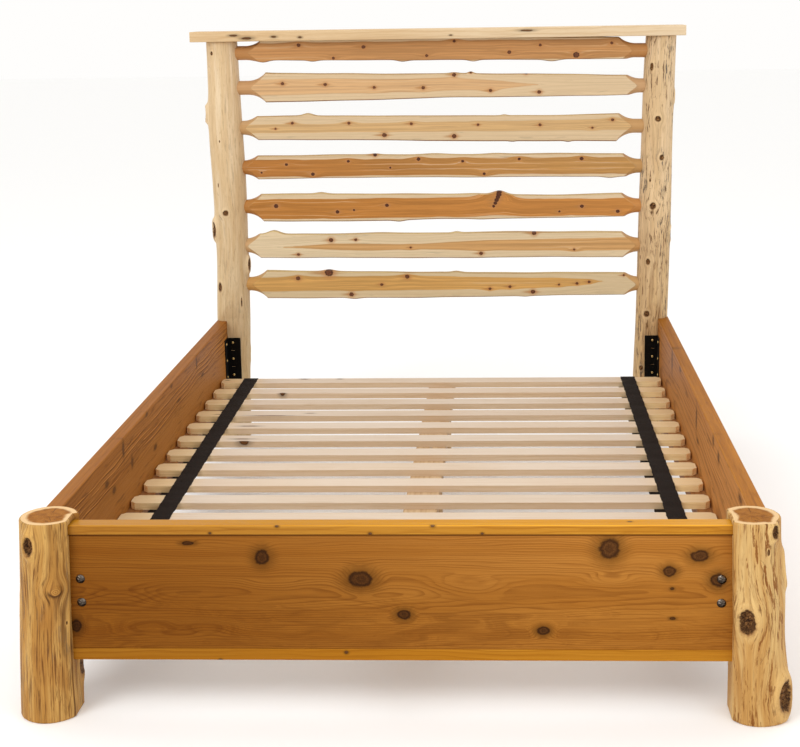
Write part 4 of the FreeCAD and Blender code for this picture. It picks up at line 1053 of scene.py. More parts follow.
def fastener_tree(name, recess, dented):
    """A node tree that sets one fastener, head and shank, at every point of a mesh."""
    tree = bpy.data.node_groups.new(name, "GeometryNodeTree")
    tree.interface.new_socket("Geometry", in_out="INPUT", socket_type="NodeSocketGeometry")
    for label, default in (
        ("Head Radius", 0.0045),
        ("Head Height", 0.0026),
        ("Shank Radius", 0.002),
        ("Shank Length", 0.03),
        ("Hammering", 0.0004),
    ):
        entry = tree.interface.new_socket(label, in_out="INPUT", socket_type="NodeSocketFloat")
        entry.default_value = default
    entry = tree.interface.new_socket("Seed", in_out="INPUT", socket_type="NodeSocketInt")
    entry.default_value = 3
    tree.interface.new_socket("Metal", in_out="INPUT", socket_type="NodeSocketMaterial")
    tree.interface.new_socket("Geometry", in_out="OUTPUT", socket_type="NodeSocketGeometry")

    def node(kind, settings=(), **sockets):
        made = tree.nodes.new(kind)
        for key, value in settings:
            setattr(made, key, value)
        for key, value in sockets.items():
            socket = made.inputs[key.replace("_", " ")]
            if isinstance(value, bpy.types.NodeSocket):
                tree.links.new(value, socket)
            else:
                socket.default_value = value
        return made

    def number(operation, first, second=0.0):
        made = node("ShaderNodeMath", (("operation", operation),))
        for socket, value in zip(made.inputs, (first, second)):
            if isinstance(value, bpy.types.NodeSocket):
                tree.links.new(value, socket)
            else:
                socket.default_value = value
        return made.outputs[0]

    def vector(x, y, z):
        return node("ShaderNodeCombineXYZ", X=x, Y=y, Z=z).outputs[0]

    given = tree.nodes.new("NodeGroupInput").outputs
    ball = node("GeometryNodeMeshUVSphere", Segments=28, Rings=18, Radius=1.0).outputs["Mesh"]
    head_size = vector(given["Head Radius"], given["Head Radius"], given["Head Height"])
    head = node("GeometryNodeTransform", Geometry=ball, Scale=head_size).outputs[0]
    place = node("GeometryNodeInputPosition").outputs[0]
    split = node("ShaderNodeSeparateXYZ", Vector=place).outputs
    flat = vector(split[0], split[1], number("MAXIMUM", split[2], 0.0))
    head = node("GeometryNodeSetPosition", Geometry=head, Position=flat).outputs[0]
    if dented:
        spread = node("ShaderNodeVectorMath", (("operation", "ADD"),))
        tree.links.new(place, spread.inputs[0])
        tree.links.new(
            vector(number("MULTIPLY", given["Seed"], 0.7), 0.0, 0.0), spread.inputs[1]
        )
        dents = node(
            "ShaderNodeTexNoise", Vector=spread.outputs[0], Scale=210.0, Detail=1.0
        ).outputs[0]
        depth = number("MULTIPLY", number("SUBTRACT", dents, 0.75), given["Hammering"])
        up = number("GREATER_THAN", split[2], 0.0001)
        dent = vector(0.0, 0.0, number("MULTIPLY", depth, up))
        head = node("GeometryNodeSetPosition", Geometry=head, Offset=dent).outputs[0]
    if recess:
        bars = []
        for turn in (0.0, math.pi / 2):
            long = number("MULTIPLY", given["Head Radius"], 1.15)
            wide = number("MULTIPLY", given["Head Radius"], 0.26)
            bar_size = vector(long, wide, given["Head Height"])
            bar = node("GeometryNodeMeshCube", Size=bar_size).outputs["Mesh"]
            bars.append(
                node(
                    "GeometryNodeTransform",
                    Geometry=bar,
                    Translation=vector(
                        0.0, 0.0, number("MULTIPLY", given["Head Height"], 0.95)
                    ),
                    Rotation=(0, 0, turn),
                ).outputs[0]
            )
        cutter = node("GeometryNodeMeshBoolean", (("operation", "UNION"),))
        for bar in bars:
            tree.links.new(bar, cutter.inputs["Mesh 2"])
        carve = node("GeometryNodeMeshBoolean", (("operation", "DIFFERENCE"),))
        tree.links.new(head, carve.inputs["Mesh 1"])
        tree.links.new(cutter.outputs["Mesh"], carve.inputs["Mesh 2"])
        head = carve.outputs["Mesh"]
    shank = node(
        "GeometryNodeMeshCylinder",
        Vertices=16,
        Radius=given["Shank Radius"],
        Depth=given["Shank Length"],
    ).outputs["Mesh"]
    sunk = vector(0.0, 0.0, number("MULTIPLY", given["Shank Length"], -0.5))
    shank = node("GeometryNodeTransform", Geometry=shank, Translation=sunk).outputs[0]
    whole = node("GeometryNodeJoinGeometry")
    tree.links.new(shank, whole.inputs[0])
    tree.links.new(head, whole.inputs[0])
    aim = node(
        "GeometryNodeInputNamedAttribute", (("data_type", "FLOAT_VECTOR"),), Name="aim"
    ).outputs["Attribute"]
    turned = node("FunctionNodeAlignRotationToVector", (("axis", "Z"),), Vector=aim).outputs[0]
    set_out = node(
        "GeometryNodeInstanceOnPoints",
        Points=given["Geometry"],
        Instance=whole.outputs[0],
        Rotation=turned,
    )
    real = node("GeometryNodeRealizeInstances", Geometry=set_out.outputs[0]).outputs[0]
    coated = node("GeometryNodeSetMaterial", Geometry=real, Material=given["Metal"]).outputs[0]
    gives = tree.nodes.new("NodeGroupOutput")
    tree.links.new(coated, gives.inputs[0])
    return tree


def repeated(name, tree, places, values):
    """A mesh made by a node tree over a list of (point, direction)."""
    mesh = bpy.data.meshes.new(name)
    mesh.from_pydata([point for point, aim in places], [], [])
    aims = np.array([aim for point, aim in places], np.float32)
    mesh.attributes.new("aim", "FLOAT_VECTOR", "POINT").data.foreach_set("vector", aims.ravel())
    seeds = bpy.data.objects.new(name, mesh)
    scene.collection.objects.link(seeds)
    modifier = seeds.modifiers.new("repeat", "NODES")
    modifier.node_group = tree
    for item in tree.interface.items_tree:
        if item.in_out == "INPUT" and item.name in values:
            modifier[item.identifier] = values[item.name]
    graph = bpy.context.evaluated_depsgraph_get()
    made = bpy.data.meshes.new_from_object(seeds.evaluated_get(graph), depsgraph=graph)
    bpy.data.objects.remove(seeds)
    piece = bpy.data.objects.new(name, made)
    scene.collection.objects.link(piece)
    made.shade_smooth()
    made.set_sharp_from_angle(angle=math.radians(35))
    return piece


# The bolt heads carry a painted highlight on top and painted shade below.
bolt_steel = metal(
    "dark_bolt_steel", (0.05, 0.038, 0.03), rough=0.34, dents=4.0, rubbed=(0.2, 0.165, 0.135)
)
bolts = repeated(
    "coach_bolts",
    fastener_tree("hammered_bolt", False, True),
    [
        ((side * BOLT_X, PANEL_FRONT_Y, z), (0, -1, 0))
        for name, side in SIDES
        for z in BOLT_HEIGHTS
    ],
    {
        "Head Radius": BOLT_HEAD_RADIUS,
        "Head Height": BOLT_HEAD_HEIGHT,
        "Shank Radius": BOLT_SHANK_RADIUS,
        "Shank Length": BOLT_END_Y - PANEL_FRONT_Y,
        "Hammering": 0.0052,
        "Metal": bolt_steel,
    },
)
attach(bolts, "root")
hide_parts("panel_bolts")
paint("panel_nuts", bolt_steel)

black_steel = metal(
    "black_steel", (0.003, 0.0024, 0.0018), rough=0.55, metallic=0.1, scratch=0.03, gloss=0.12
)
zinc = metal("zinc_steel", (0.55, 0.56, 0.58), rough=0.35)
brass = metal("brass", (0.72, 0.5, 0.2), rough=0.3)
screw_tree = fastener_tree("cross_screw", True, False)
ANGLE_SCREW_X = 0.718
ANGLE_SCREW_Y = -1.05975
ANGLE_SCREW_HEIGHTS = (0.256, 0.291, 0.326)
angle_screws = repeated(
    "angle_screws",
    screw_tree,
    [
        ((side * ANGLE_SCREW_X, ANGLE_SCREW_Y, z), (-side, 0, 0))
        for name, side in SIDES
        for z in ANGLE_SCREW_HEIGHTS
    ],
    {"Metal": zinc},
)
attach(angle_screws, "root")
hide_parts("panel_angle_screws")

# Rail brackets and brass screws
# Black steel angles in the corner of rail and post, slotted between their screws.
BRACKET_SCREW_HEIGHTS = (0.239, 0.298, 0.357)
POST_LEG_SCREW_X = 0.751
POST_LEG_FACES = ((-1.03175, 1), (1.03025, -1))
RAIL_LEG_SCREW_X = 0.767
RAIL_LEG_SCREWS_Y = (-1.00075, 0.99925)
bracket_places = []
for name, side in SIDES:
    for z in BRACKET_SCREW_HEIGHTS:
        for face_y, aim in POST_LEG_FACES:
            bracket_places.append(((side * POST_LEG_SCREW_X, face_y, z), (0, aim, 0)))
        for y in RAIL_LEG_SCREWS_Y:
            bracket_places.append(((side * RAIL_LEG_SCREW_X, y, z), (-side, 0, 0)))
brass_screws = repeated("brass_screws", screw_tree, bracket_places, {"Metal": brass})
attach(brass_screws, "root")
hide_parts("bracket_screws")
for name, side in SIDES:
    for end in ("foot", "head"):
        paint(f"bracket_{end}_{name}", black_steel)
    paint(f"panel_angle_{name}", black_steel)
for name in ("ledger_screws", "beam_screws"):
    paint(name, zinc)

# Side rails
# Wide sawn cedar boards on edge. The left one still carries the long ridges of the saw on
# its upper inner face. A ledger strip is screwed along each one under the slats' ends.
RAIL_TONES = {
    "left": ((0.46, 0.19, 0.045), (0.36, 0.135, 0.027), (0.14, 0.042, 0.006)),
    "right": ((0.54, 0.23, 0.06), (0.42, 0.165, 0.039), (0.13, 0.04, 0.006)),
}
# Painted light on the rails' level faces: tinted darker and more orange to take out the pale
# sheen they show; their sides and ends keep their colour.
RAIL_FACE_LIGHT = {
    "left": ((0.82, 0.76, 0.6), (1, 1, 1), (1, 1, 1)),
    "right": ((0.75, 0.67, 0.32), (1, 1, 1), (1, 1, 1)),
}
RAIL_TINTS = {
    "left": (-1.0, 0.8, (1.0, 1.0, 0.95), (1.0, 1.0, 0.9)),
    "right": (-1.0, 0.7, (1.2, 1.24, 1.3), (0.98, 0.98, 0.95)),
}
# How wide the rings lie, their strength and how far the grain swings.
RAIL_GRAIN = {"left": (0.011, 0.62, 0.07), "right": (0.017, 0.5, 0.05)}
# Marks on the inner faces as (y, z, half length, half height).
RAIL_MARKS = {
    "left": (
        (0.505, 0.411, 0.007, 0.012),
        (0.143, 0.427, 0.008, 0.004),
        (-0.168, 0.427, 0.008, 0.004),
        (-0.428, 0.405, 0.007, 0.016),
        (-0.597, 0.366, 0.011, 0.006),
        (-0.347, 0.345, 0.008, 0.010),
        (-0.535, 0.330, 0.010, 0.006),
        (-0.088, 0.308, 0.012, 0.005),
        (0.586, 0.351, 0.014, 0.004),
        (0.230, 0.360, 0.016, 0.003),
    ),
    "right": (
        (0.573, 0.395, 0.012, 0.028),
        (-0.058, 0.378, 0.009, 0.022),
        (-0.405, 0.417, 0.010, 0.009),
        (-0.504, 0.404, 0.011, 0.010),
        (-0.860, 0.414, 0.018, 0.006),
        (0.349, 0.420, 0.016, 0.006),
        (-0.093, 0.322, 0.016, 0.004),
    ),
}
RAIL_CORE = ((0.085, 0.03, 0.009), (0.19, 0.075, 0.023))
LEDGER_TONES = ((0.36, 0.17, 0.06), (0.3, 0.13, 0.045), (0.17, 0.06, 0.018))
for side_name, side in SIDES:
    band, late_share, wander = RAIL_GRAIN[side_name]
    marks = [
        ((side * RAIL_INNER_X, y, z), (0.02, long, high), 0.004)
        for y, z, long, high in RAIL_MARKS[side_name]
    ]
    rail = sawn_board(
        f"side_rail_{side_name}",
        seed=side + 2.5,
        tones=RAIL_TONES[side_name],
        plane="yzx",
        pith=(0.2 * side, 0.22 + 0.04 * side, side * 0.745),
        knots=marks,
        squash=0.09,
        band=band,
        late_share=late_share,
        faces=RAIL_FACE_LIGHT[side_name],
        tints=RAIL_TINTS[side_name],
        ticks=0.45,
        wander=wander,
        core=RAIL_CORE,
        **({"saw": (0.396, 0.38, 0.366, 0.35), "planed": (0.31, 0.345)} if side < 0 else {}),
    )
    paint(f"side_rail_{side_name}", rail)
    strip = sawn_board(
        f"ledger_{side_name}",
        seed=side + 7.5,
        tones=LEDGER_TONES,
        plane="yzx",
        pith=(0.3, 0.3, side * 0.7),
        squash=0.02,
    )
    paint(f"ledger_{side_name}", strip)

# Centre beam, cleat and legs
# A flat board under the slats on three square legs with nail-on glides.
BEAM_TONES = ((0.6, 0.43, 0.26), (0.52, 0.35, 0.19), (0.36, 0.2, 0.09))
beam_wood = sawn_board(
    "centre_beam", seed=12, tones=BEAM_TONES, plane="yxz", pith=(0.3, 0.05, 0.3), squash=0.02
)
paint("centre_beam", beam_wood)
cleat_wood = sawn_board(
    "beam_cleat", seed=13, tones=BEAM_TONES, plane="xzy", pith=(0.0, 0.3, -1.1), squash=0.05
)
paint("beam_cleat", cleat_wood)
for step, name in enumerate(("foot", "middle", "head")):
    leg_wood = sawn_board(
        f"centre_leg_{name}",
        seed=14 + step,
        tones=BEAM_TONES,
        plane="zxy",
        pith=(0.0, 0.06, 0.9),
        squash=0.05,
    )
    paint(f"centre_leg_{name}", leg_wood)
glide = Finish("glide_plastic", rough=0.45)
speck = glide.cloud(glide.spot, 700, 3)
glide_grey = glide.blend(
    glide.step(speck, 0.4, 0.6, 0.0, 0.5), (0.045, 0.04, 0.037), (0.075, 0.068, 0.06)
)
paint("leg_glides", glide.done(glide_grey, None, glide.bump(speck, 0.0002, 0.5)))

# Head posts
# Tall pale peeled logs with small knots, each seated and rabbeted for its rail.
HEAD_X = 0.752
HEAD_Y = 1.07925
HEAD_RADIUS = 0.056
HEAD_SEAT_Y = 1.03325
RAIL_END_Y = 1.06925
HEAD_TOP_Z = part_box("head_post_left")[1].z


def head_limit(side):
    """The seat in front of the log and the rabbet that takes the rail's end."""

    def limit(bearing, tall, lean_x, lean_y):
        front = -np.sin(bearing)
        outward = side * np.cos(bearing)
        deep = (HEAD_Y + lean_y - HEAD_SEAT_Y) / np.maximum(front, LEAST_TURN)
        seat = np.where(front > LEAST_TURN, deep, FAR)
        beyond = np.maximum(np.maximum(RAIL_LOW_Z - 0.02 - tall, tall - RAIL_TOP_Z - 0.01), 0)
        seat = np.where(beyond < 0.06, seat + beyond * 0.2, FAR)
        to_side = (RAIL_INNER_X - HEAD_X - side * lean_x) / np.maximum(outward, LEAST_TURN)
        to_back = (HEAD_Y + lean_y - RAIL_END_Y) / np.maximum(front, LEAST_TURN)
        turned_in = (outward > LEAST_TURN) & (front > LEAST_TURN)
        inside = turned_in & (tall > RAIL_LOW_Z) & (tall < RAIL_TOP_Z)
        rabbet = np.where(inside, np.maximum(to_side, to_back), FAR)
        outside = box_limit((side * HEAD_X, HEAD_Y), bearing, lean_x, lean_y)
        return np.minimum(np.minimum(seat, rabbet), outside)

    return limit


HEAD_LINES = {
    "left": (
        (0.0, 1.0, -0.16, 0.0),
        (0.15, 1.0, -0.11, 0.0),
        (0.3, 1.04, 0.0, 0.0),
        (0.5, 0.99, 0.11, 0.01),
        (0.65, 1.04, 0.08, 0.0),
        (0.77, 1.05, 0.0, -0.01),
        (0.88, 0.98, -0.01, 0.0),
        (1.0, 0.95, -0.04, 0.0),
    ),
    "right": (
        (0.0, 1.05, -0.16, 0.0),
        (0.15, 1.05, -0.12, 0.0),
        (0.3, 1.0, -0.03, 0.0),
        (0.45, 1.0, 0.05, 0.01),
        (0.6, 1.0, 0.13, 0.0),
        (0.75, 0.965, 0.2, -0.01),
        (0.9, 0.96, 0.3, 0.0),
        (1.0, 0.93, 0.4, 0.0),
    ),
}
HEAD_KNOTS = {
    "left": (
        (1.386, -122, 0.005, 0.006, 0.002, 0.002),
        (1.175, -168, 0.010, 0.020, 0.015, 0.003),
        (1.081, -104, 0.002, 0.004, 0.0, 0.0005),
        (0.926, -122, 0.002, 0.007, 0.0, 0.001),
        (0.828, -99, 0.009, 0.009, 0.003, 0.002),
        (0.765, -150, 0.012, 0.026, 0.016, 0.004),
        (0.560, -132, 0.008, 0.015, 0.004, 0.003),
        (0.636, -12, 0.009, 0.020, 0.010, 0.001),
        (0.505, -50, 0.0025, 0.016, 0.0, 0.001),
        (0.300, 20, 0.014, 0.020, 0.003, 0.0),
    ),
    "right": (
        (1.320, -125, 0.006, 0.013, 0.003, 0.003),
        (1.226, -24, 0.003, 0.012, 0.001, 0.001),
        (1.142, -94, 0.009, 0.009, 0.003, 0.003),
        (1.008, -76, 0.0075, 0.009, 0.003, 0.003),
        (0.929, -116, 0.003, 0.006, 0.0, 0.001),
        (0.840, -103, 0.0095, 0.011, 0.003, 0.003),
        (0.641, -114, 0.007, 0.010, 0.003, 0.003),
        (0.453, -114, 0.009, 0.010, 0.003, 0.003),
        (0.735, -8, 0.012, 0.018, 0.004, 0.0),
        (1.215, 10, 0.012, 0.018, 0.005, 0.0),
        (0.256, -128, 0.006, 0.008, 0.001, 0.001),
    ),
}
HEAD_TONES = {
    "left": ((0.74, 0.56, 0.335), (0.66, 0.465, 0.246), (0.4, 0.21, 0.07)),
    "right": ((0.78, 0.57, 0.32), (0.7, 0.49, 0.25), (0.2, 0.1, 0.04)),
}
# Streaks, dashes, chips, blue stain, browning, the knots' lips and the tints.
HEAD_WEAR = {
    "left": (0.26, 0.15, 0.0, 0.2, 0.0, 0.25, ((0.83, 0.83, 0.8), (1.06, 1.12, 1.25))),
    "right": (0.3, 0.8, 0.0, 1.0, 0.45, 0.25, ((1.12, 1.1, 1.04), (1.0, 1.02, 1.12))),
}
HEAD_END_TONES = ((0.7, 0.48, 0.25), (0.5, 0.26, 0.1), (0.34, 0.14, 0.05))
for side_name, side in SIDES:
    centre = (side * HEAD_X, HEAD_Y)
    bark = peeled_log(
        f"head_log_{side_name}", side + 13, HEAD_TONES[side_name], *HEAD_WEAR[side_name]
    )
    sawn = end_grain(f"head_log_end_{side_name}", centre, sap_width=0.025, tones=HEAD_END_TONES)
    post = standing_log(
        f"head_log_{side_name}",
        centre,
        HEAD_RADIUS,
        HEAD_TOP_Z,
        HEAD_LINES[side_name],
        HEAD_KNOTS[side_name],
        head_limit(side),
        seed=side + 21,
        rings=520,
        around=150,
        materials=(bark, sawn),
    )
    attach(post, "root")
    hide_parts(f"head_post_{side_name}")

# Head rails
# Seven half logs, sawn face forward with the live edge left on. Both ends are turned down
# to a round tenon with a coved shoulder.
TENON_RADIUS = 0.0245
COVE_RADIUS = 0.085
COVE_STEP = 0.05
COVE_REACH = 0.0152
SHOULDER_X = 0.696
FACE_Y = 1.05325
LOG_DEPTH = 0.052
HALF_WIDTH = 0.045
BACK_POINTS = 33
LIVE_EDGE = 0.915
# How deep the live edge lies behind the face, and how far it turns under, in radians.
LIVE_DEPTH = 0.012
LIVE_TURN = 0.32
FACE_POINTS = 41
HEART_PULL = 0.0125
SAP_REACH = 0.012
RIGHT_SAG = 0.009


def half_log(
    name, axis_z, upper, lower, gaps, bumps, hearts, knots, seed, material, top_z=None
):
    """One half log. bumps are (x, size, height), positive on the upper edge, else the lower.

    hearts are (x, middle, half width) of the heartwood band on the sawn face.
    """
    draw = np.random.default_rng(seed)
    reach = HEAD_X
    ends = np.linspace(0, 1, 75)
    turned = SHOULDER_X + 0.004
    inner = turned - 0.13
    stations = np.concatenate(
        [-reach + (reach - turned) * ends[:-1:9], -turned + (turned - inner) * ends[:-1]]
    )
    stations = np.concatenate([stations, np.linspace(-inner, inner, 330), -stations[::-1]])
    x = stations[:, None]
    spots = [-1.0, -SHOULDER_X, -SHOULDER_X / 2, 0, SHOULDER_X / 2, SHOULDER_X, 1.0]
    high = flowing(spots, upper[:1] + upper + upper[-1:], stations) * HALF_WIDTH
    low = flowing(spots, lower[:1] + lower + lower[-1:], stations) * HALF_WIDTH
    for edge, factor in ((high, 1), (low, -1)):
        for wave in (5, 9, 17, 31):
            edge += (
                0.0021
                / math.sqrt(wave)
                * np.sin(wave * stations + draw.uniform(0, 6.3))
                * draw.uniform(0.5, 1)
            )
        for at, size, rise in bumps:
            if rise * factor > 0:
                edge += abs(rise) * np.exp(-(((stations - at) / size) ** 2))
    across = np.linspace(-1, 1, FACE_POINTS)[None, :]
    face_z = np.where(across > 0, across * high[:, None], across * low[:, None]) * LIVE_EDGE
    face_y = np.zeros_like(face_z) - (HEAD_Y - FACE_Y)
    turn = np.linspace(-LIVE_TURN, math.pi + LIVE_TURN, BACK_POINTS + 2)[None, 1:-1]
    under = np.clip(-np.sin(turn) / math.sin(LIVE_TURN), 0, 1)
    lift = np.where(
        under > 0, np.sign(np.cos(turn)) * (1 - (1 - LIVE_EDGE) * under**2), np.cos(turn)
    )
    back_z = np.where(lift > 0, lift * high[:, None], lift * low[:, None])
    knob = (
        1
        + 0.03 * ripple(turn, x, seed, (2, 3, 5), 14)
        + 0.012 * ripple(turn, x, seed + 3, (7, 11, 13), 30)
    )
    back_y = (
        -(HEAD_Y - FACE_Y)
        + LIVE_DEPTH
        + (LOG_DEPTH - LIVE_DEPTH) * np.sin(np.clip(turn, 0, math.pi)) * np.clip(knob, 0.9, 1)
    )
    back_y = np.where(under > 0, -(HEAD_Y - FACE_Y) + LIVE_DEPTH * (1 - under) ** 1.6, back_y)
    y = np.concatenate([face_y, back_y], axis=1)
    z = np.concatenate([face_z, back_z], axis=1)
    limit = np.full(len(stations), 1.0)
    for side, gap in zip((-1, 1), gaps):
        start = SHOULDER_X - gap * COVE_STEP + COVE_REACH
        deep = np.clip(start - side * stations, 0, COVE_RADIUS * 0.99)
        cove = TENON_RADIUS + COVE_RADIUS - np.sqrt(COVE_RADIUS**2 - deep**2)
        cove = np.where(side * stations > start, TENON_RADIUS, cove)
        limit = np.minimum(
            limit, np.where(side * stations > start - COVE_RADIUS * 0.98, cove, 1.0)
        )
    length = np.sqrt(y**2 + z**2)
    factor = np.minimum(1, limit[:, None] / length)
    y, z = y * factor, z * factor
    z = z - RIGHT_SAG * np.clip(x / SHOULDER_X, 0, 1.1)
    if top_z is not None:
        z = np.minimum(z, top_z - axis_z)
    middles = flowing(*zip(*[(at, mid) for at, mid, half in hearts]), stations)[:, None]
    halves = flowing(*zip(*[(at, half) for at, mid, half in hearts]), stations)[:, None]
    outside = np.abs(z - middles) - halves
    heart = np.where(
        outside < 0, np.abs(z - middles) / np.maximum(halves, 0.0008), 1 + outside / SAP_REACH
    )
    flow = z - middles
    for at_x, at_z, size in knots:
        edge = (
            abs(at_z - np.interp(at_x, stations, middles[:, 0]))
            - np.interp(at_x, stations, halves[:, 0])
        )
        pull = 0.5 * math.exp(-((max(edge, 0) / HEART_PULL) ** 2))
        push = np.exp(-(((x - at_x) / (size * 4.5)) ** 2) - ((z - at_z) / (size * 2.6)) ** 2)
        side_of = np.tanh((z - at_z) / size)
        flow = flow - 0.8 * size * push * side_of
        draws = np.exp(
            -(((x - at_x) / (size * 4.5 + 0.012)) ** 2)
            - ((z - at_z) / (size * 2.2 + 0.004)) ** 2
        )
        heart = heart * (1 - pull * draws)
    rows = np.stack([x + 0 * y, HEAD_Y + y, axis_z + z], axis=-1)
    fields = {
        "grain": np.stack([x + 0 * y, flow, y], axis=-1),
        "heart": np.clip(heart, 0, 4),
        "turned": np.clip((1 - factor) * 30, 0, 1),
    }
    return skin(name, rows, fields, end_rows=0, materials=(material,), sharp=24)


def half_log_wood(
    name, seed, heart_tone, sap_tone, axis_z, knots, tints, sap_tints, knot_tone, rings
):
    """Cream sapwood either side of a red-brown heart, with small dark knots and their rays."""
    finish = Finish(name, rough=0.5, gloss=0.15)
    grain = finish.vector(
        "ADD", finish.attribute("grain")["Vector"], (seed * 1.7, seed * 0.31, 0)
    )
    heart = finish.attribute("heart")["Fac"]
    turned = finish.attribute("turned")["Fac"]
    along, y, z = finish.parts(finish.spot)
    broad = finish.cloud(finish.mapped(grain, (2.4, 130, 130)), detail=3, rough=0.6)
    narrow = finish.cloud(finish.mapped(grain, (4, 520, 520)), detail=4, rough=0.65)
    fibre = finish.cloud(finish.mapped(grain, (26, 1900, 1900)), detail=2)
    smear = finish.cloud(finish.mapped(grain, (9, 75, 75)), detail=3, rough=0.6)
    waver = finish.cloud(finish.mapped(grain, (7, 50, 50)), 1, 2)
    waver = finish.times(finish.minus(waver, 0.5), 0.4)
    reach = finish.plus(heart, waver)
    growth = finish.join(finish.times(reach, 5.0), finish.times(along, 1.3), seed * 2.3)
    growth = finish.cloud(growth, 1, 3, 0.6)
    inside = finish.step(reach, 0.94, 1.04, 1.0, 0.0)
    heart_dark = tuple(0.6 * c for c in heart_tone)
    heart_light = tuple(0.55 * h + 0.45 * s for h, s in zip(heart_tone, sap_tone))
    heart_wood = finish.blend(
        finish.step(growth, 0.4, 0.62), heart_tone, tuple(0.74 * c for c in heart_tone)
    )
    heart_wood = finish.blend(finish.step(growth, 0.4, 0.33, 0.0, 0.7), heart_wood, heart_light)
    heart_wood = finish.blend(finish.step(broad, 0.5, 0.66, 0.0, 0.35), heart_wood, heart_dark)
    heart_wood = finish.blend(
        finish.step(narrow, 0.46, 0.62, 0.0, 0.38), heart_wood, heart_dark
    )
    rim = finish.times(finish.step(reach, 0.82, 0.98), inside)
    heart_wood = finish.blend(finish.times(rim, 0.35), heart_wood, heart_dark)
    sap_wood = finish.blend(
        finish.step(growth, 0.42, 0.62), sap_tone, tuple(0.87 * c for c in sap_tone)
    )
    sap_wood = finish.blend(
        finish.step(narrow, 0.48, 0.64, 0.0, 0.25), sap_wood, (0.5, 0.33, 0.18)
    )
    sap_wood = finish.blend(
        finish.step(smear, 0.62, 0.72, 0.0, 0.45), sap_wood, (0.36, 0.3, 0.2)
    )
    wood = finish.blend(inside, sap_wood, heart_wood)
    cut = tuple(0.4 * h + 0.5 * c for h, c in zip(heart_tone, (0.42, 0.18, 0.05)))
    wood = finish.blend(finish.times(turned, 0.75), wood, cut)
    live = finish.step(y, FACE_Y + 0.00005, FACE_Y + 0.0005)
    live = finish.times(live, finish.minus(1.0, turned))
    # The live edge is painted brown, its lower half much darker as painted shade and its upper
    # half lighter as painted light.
    skyward = finish.step(z, axis_z - 0.02, axis_z + 0.02)
    under = finish.blend(
        finish.step(broad, 0.4, 0.65), (0.24, 0.095, 0.026), (0.13, 0.046, 0.012)
    )
    over = finish.blend(finish.step(broad, 0.4, 0.65), (0.55, 0.38, 0.16), (0.36, 0.2, 0.07))
    wood = finish.blend(finish.times(live, 0.88), wood, finish.blend(skyward, under, over))
    wood = finish.blend(finish.step(fibre, 0.3, 0.7, 0.16, 0.0), wood, heart_dark)
    outer = finish.fade(wood, along, -0.75, 0.75, *sap_tints)
    inner = finish.fade(wood, along, -0.75, 0.75, *tints)
    wood = finish.blend(inside, outer, inner)
    small = [(centre, (r, 0.02, r * 0.9), 0) for centre, r in knots]
    tails = [((cx - r, cy, cz), (r * 4.2, 0.02, r * 0.75), 0) for (cx, cy, cz), r in knots]
    distance, _ = knots_of(finish, finish.spot, small)
    tail, _ = knots_of(finish, finish.spot, tails)
    tail = finish.plus(tail, finish.times(finish.minus(narrow, 0.5), 2.2))
    wood = finish.blend(finish.step(tail, 0.2, 1.3, 0.75, 0.0), wood, (0.38, 0.18, 0.055))
    ragged = finish.cloud(finish.spot, 260, 2)
    distance = finish.plus(distance, finish.times(finish.minus(ragged, 0.5), 0.9))
    wood = knot_colours(
        finish,
        wood,
        distance,
        dark=(0.055, 0.018, 0.01),
        ring=knot_tone,
        halo=(0.46, 0.2, 0.07),
        halo_strength=0.65,
        rings=rings,
    )
    height = finish.plus(finish.times(narrow, 0.5), finish.times(fibre, 0.5))
    return finish.done(
        wood, finish.step(narrow, 0.2, 0.8, 0.42, 0.6), finish.bump(height, 0.0005, 0.7)
    )


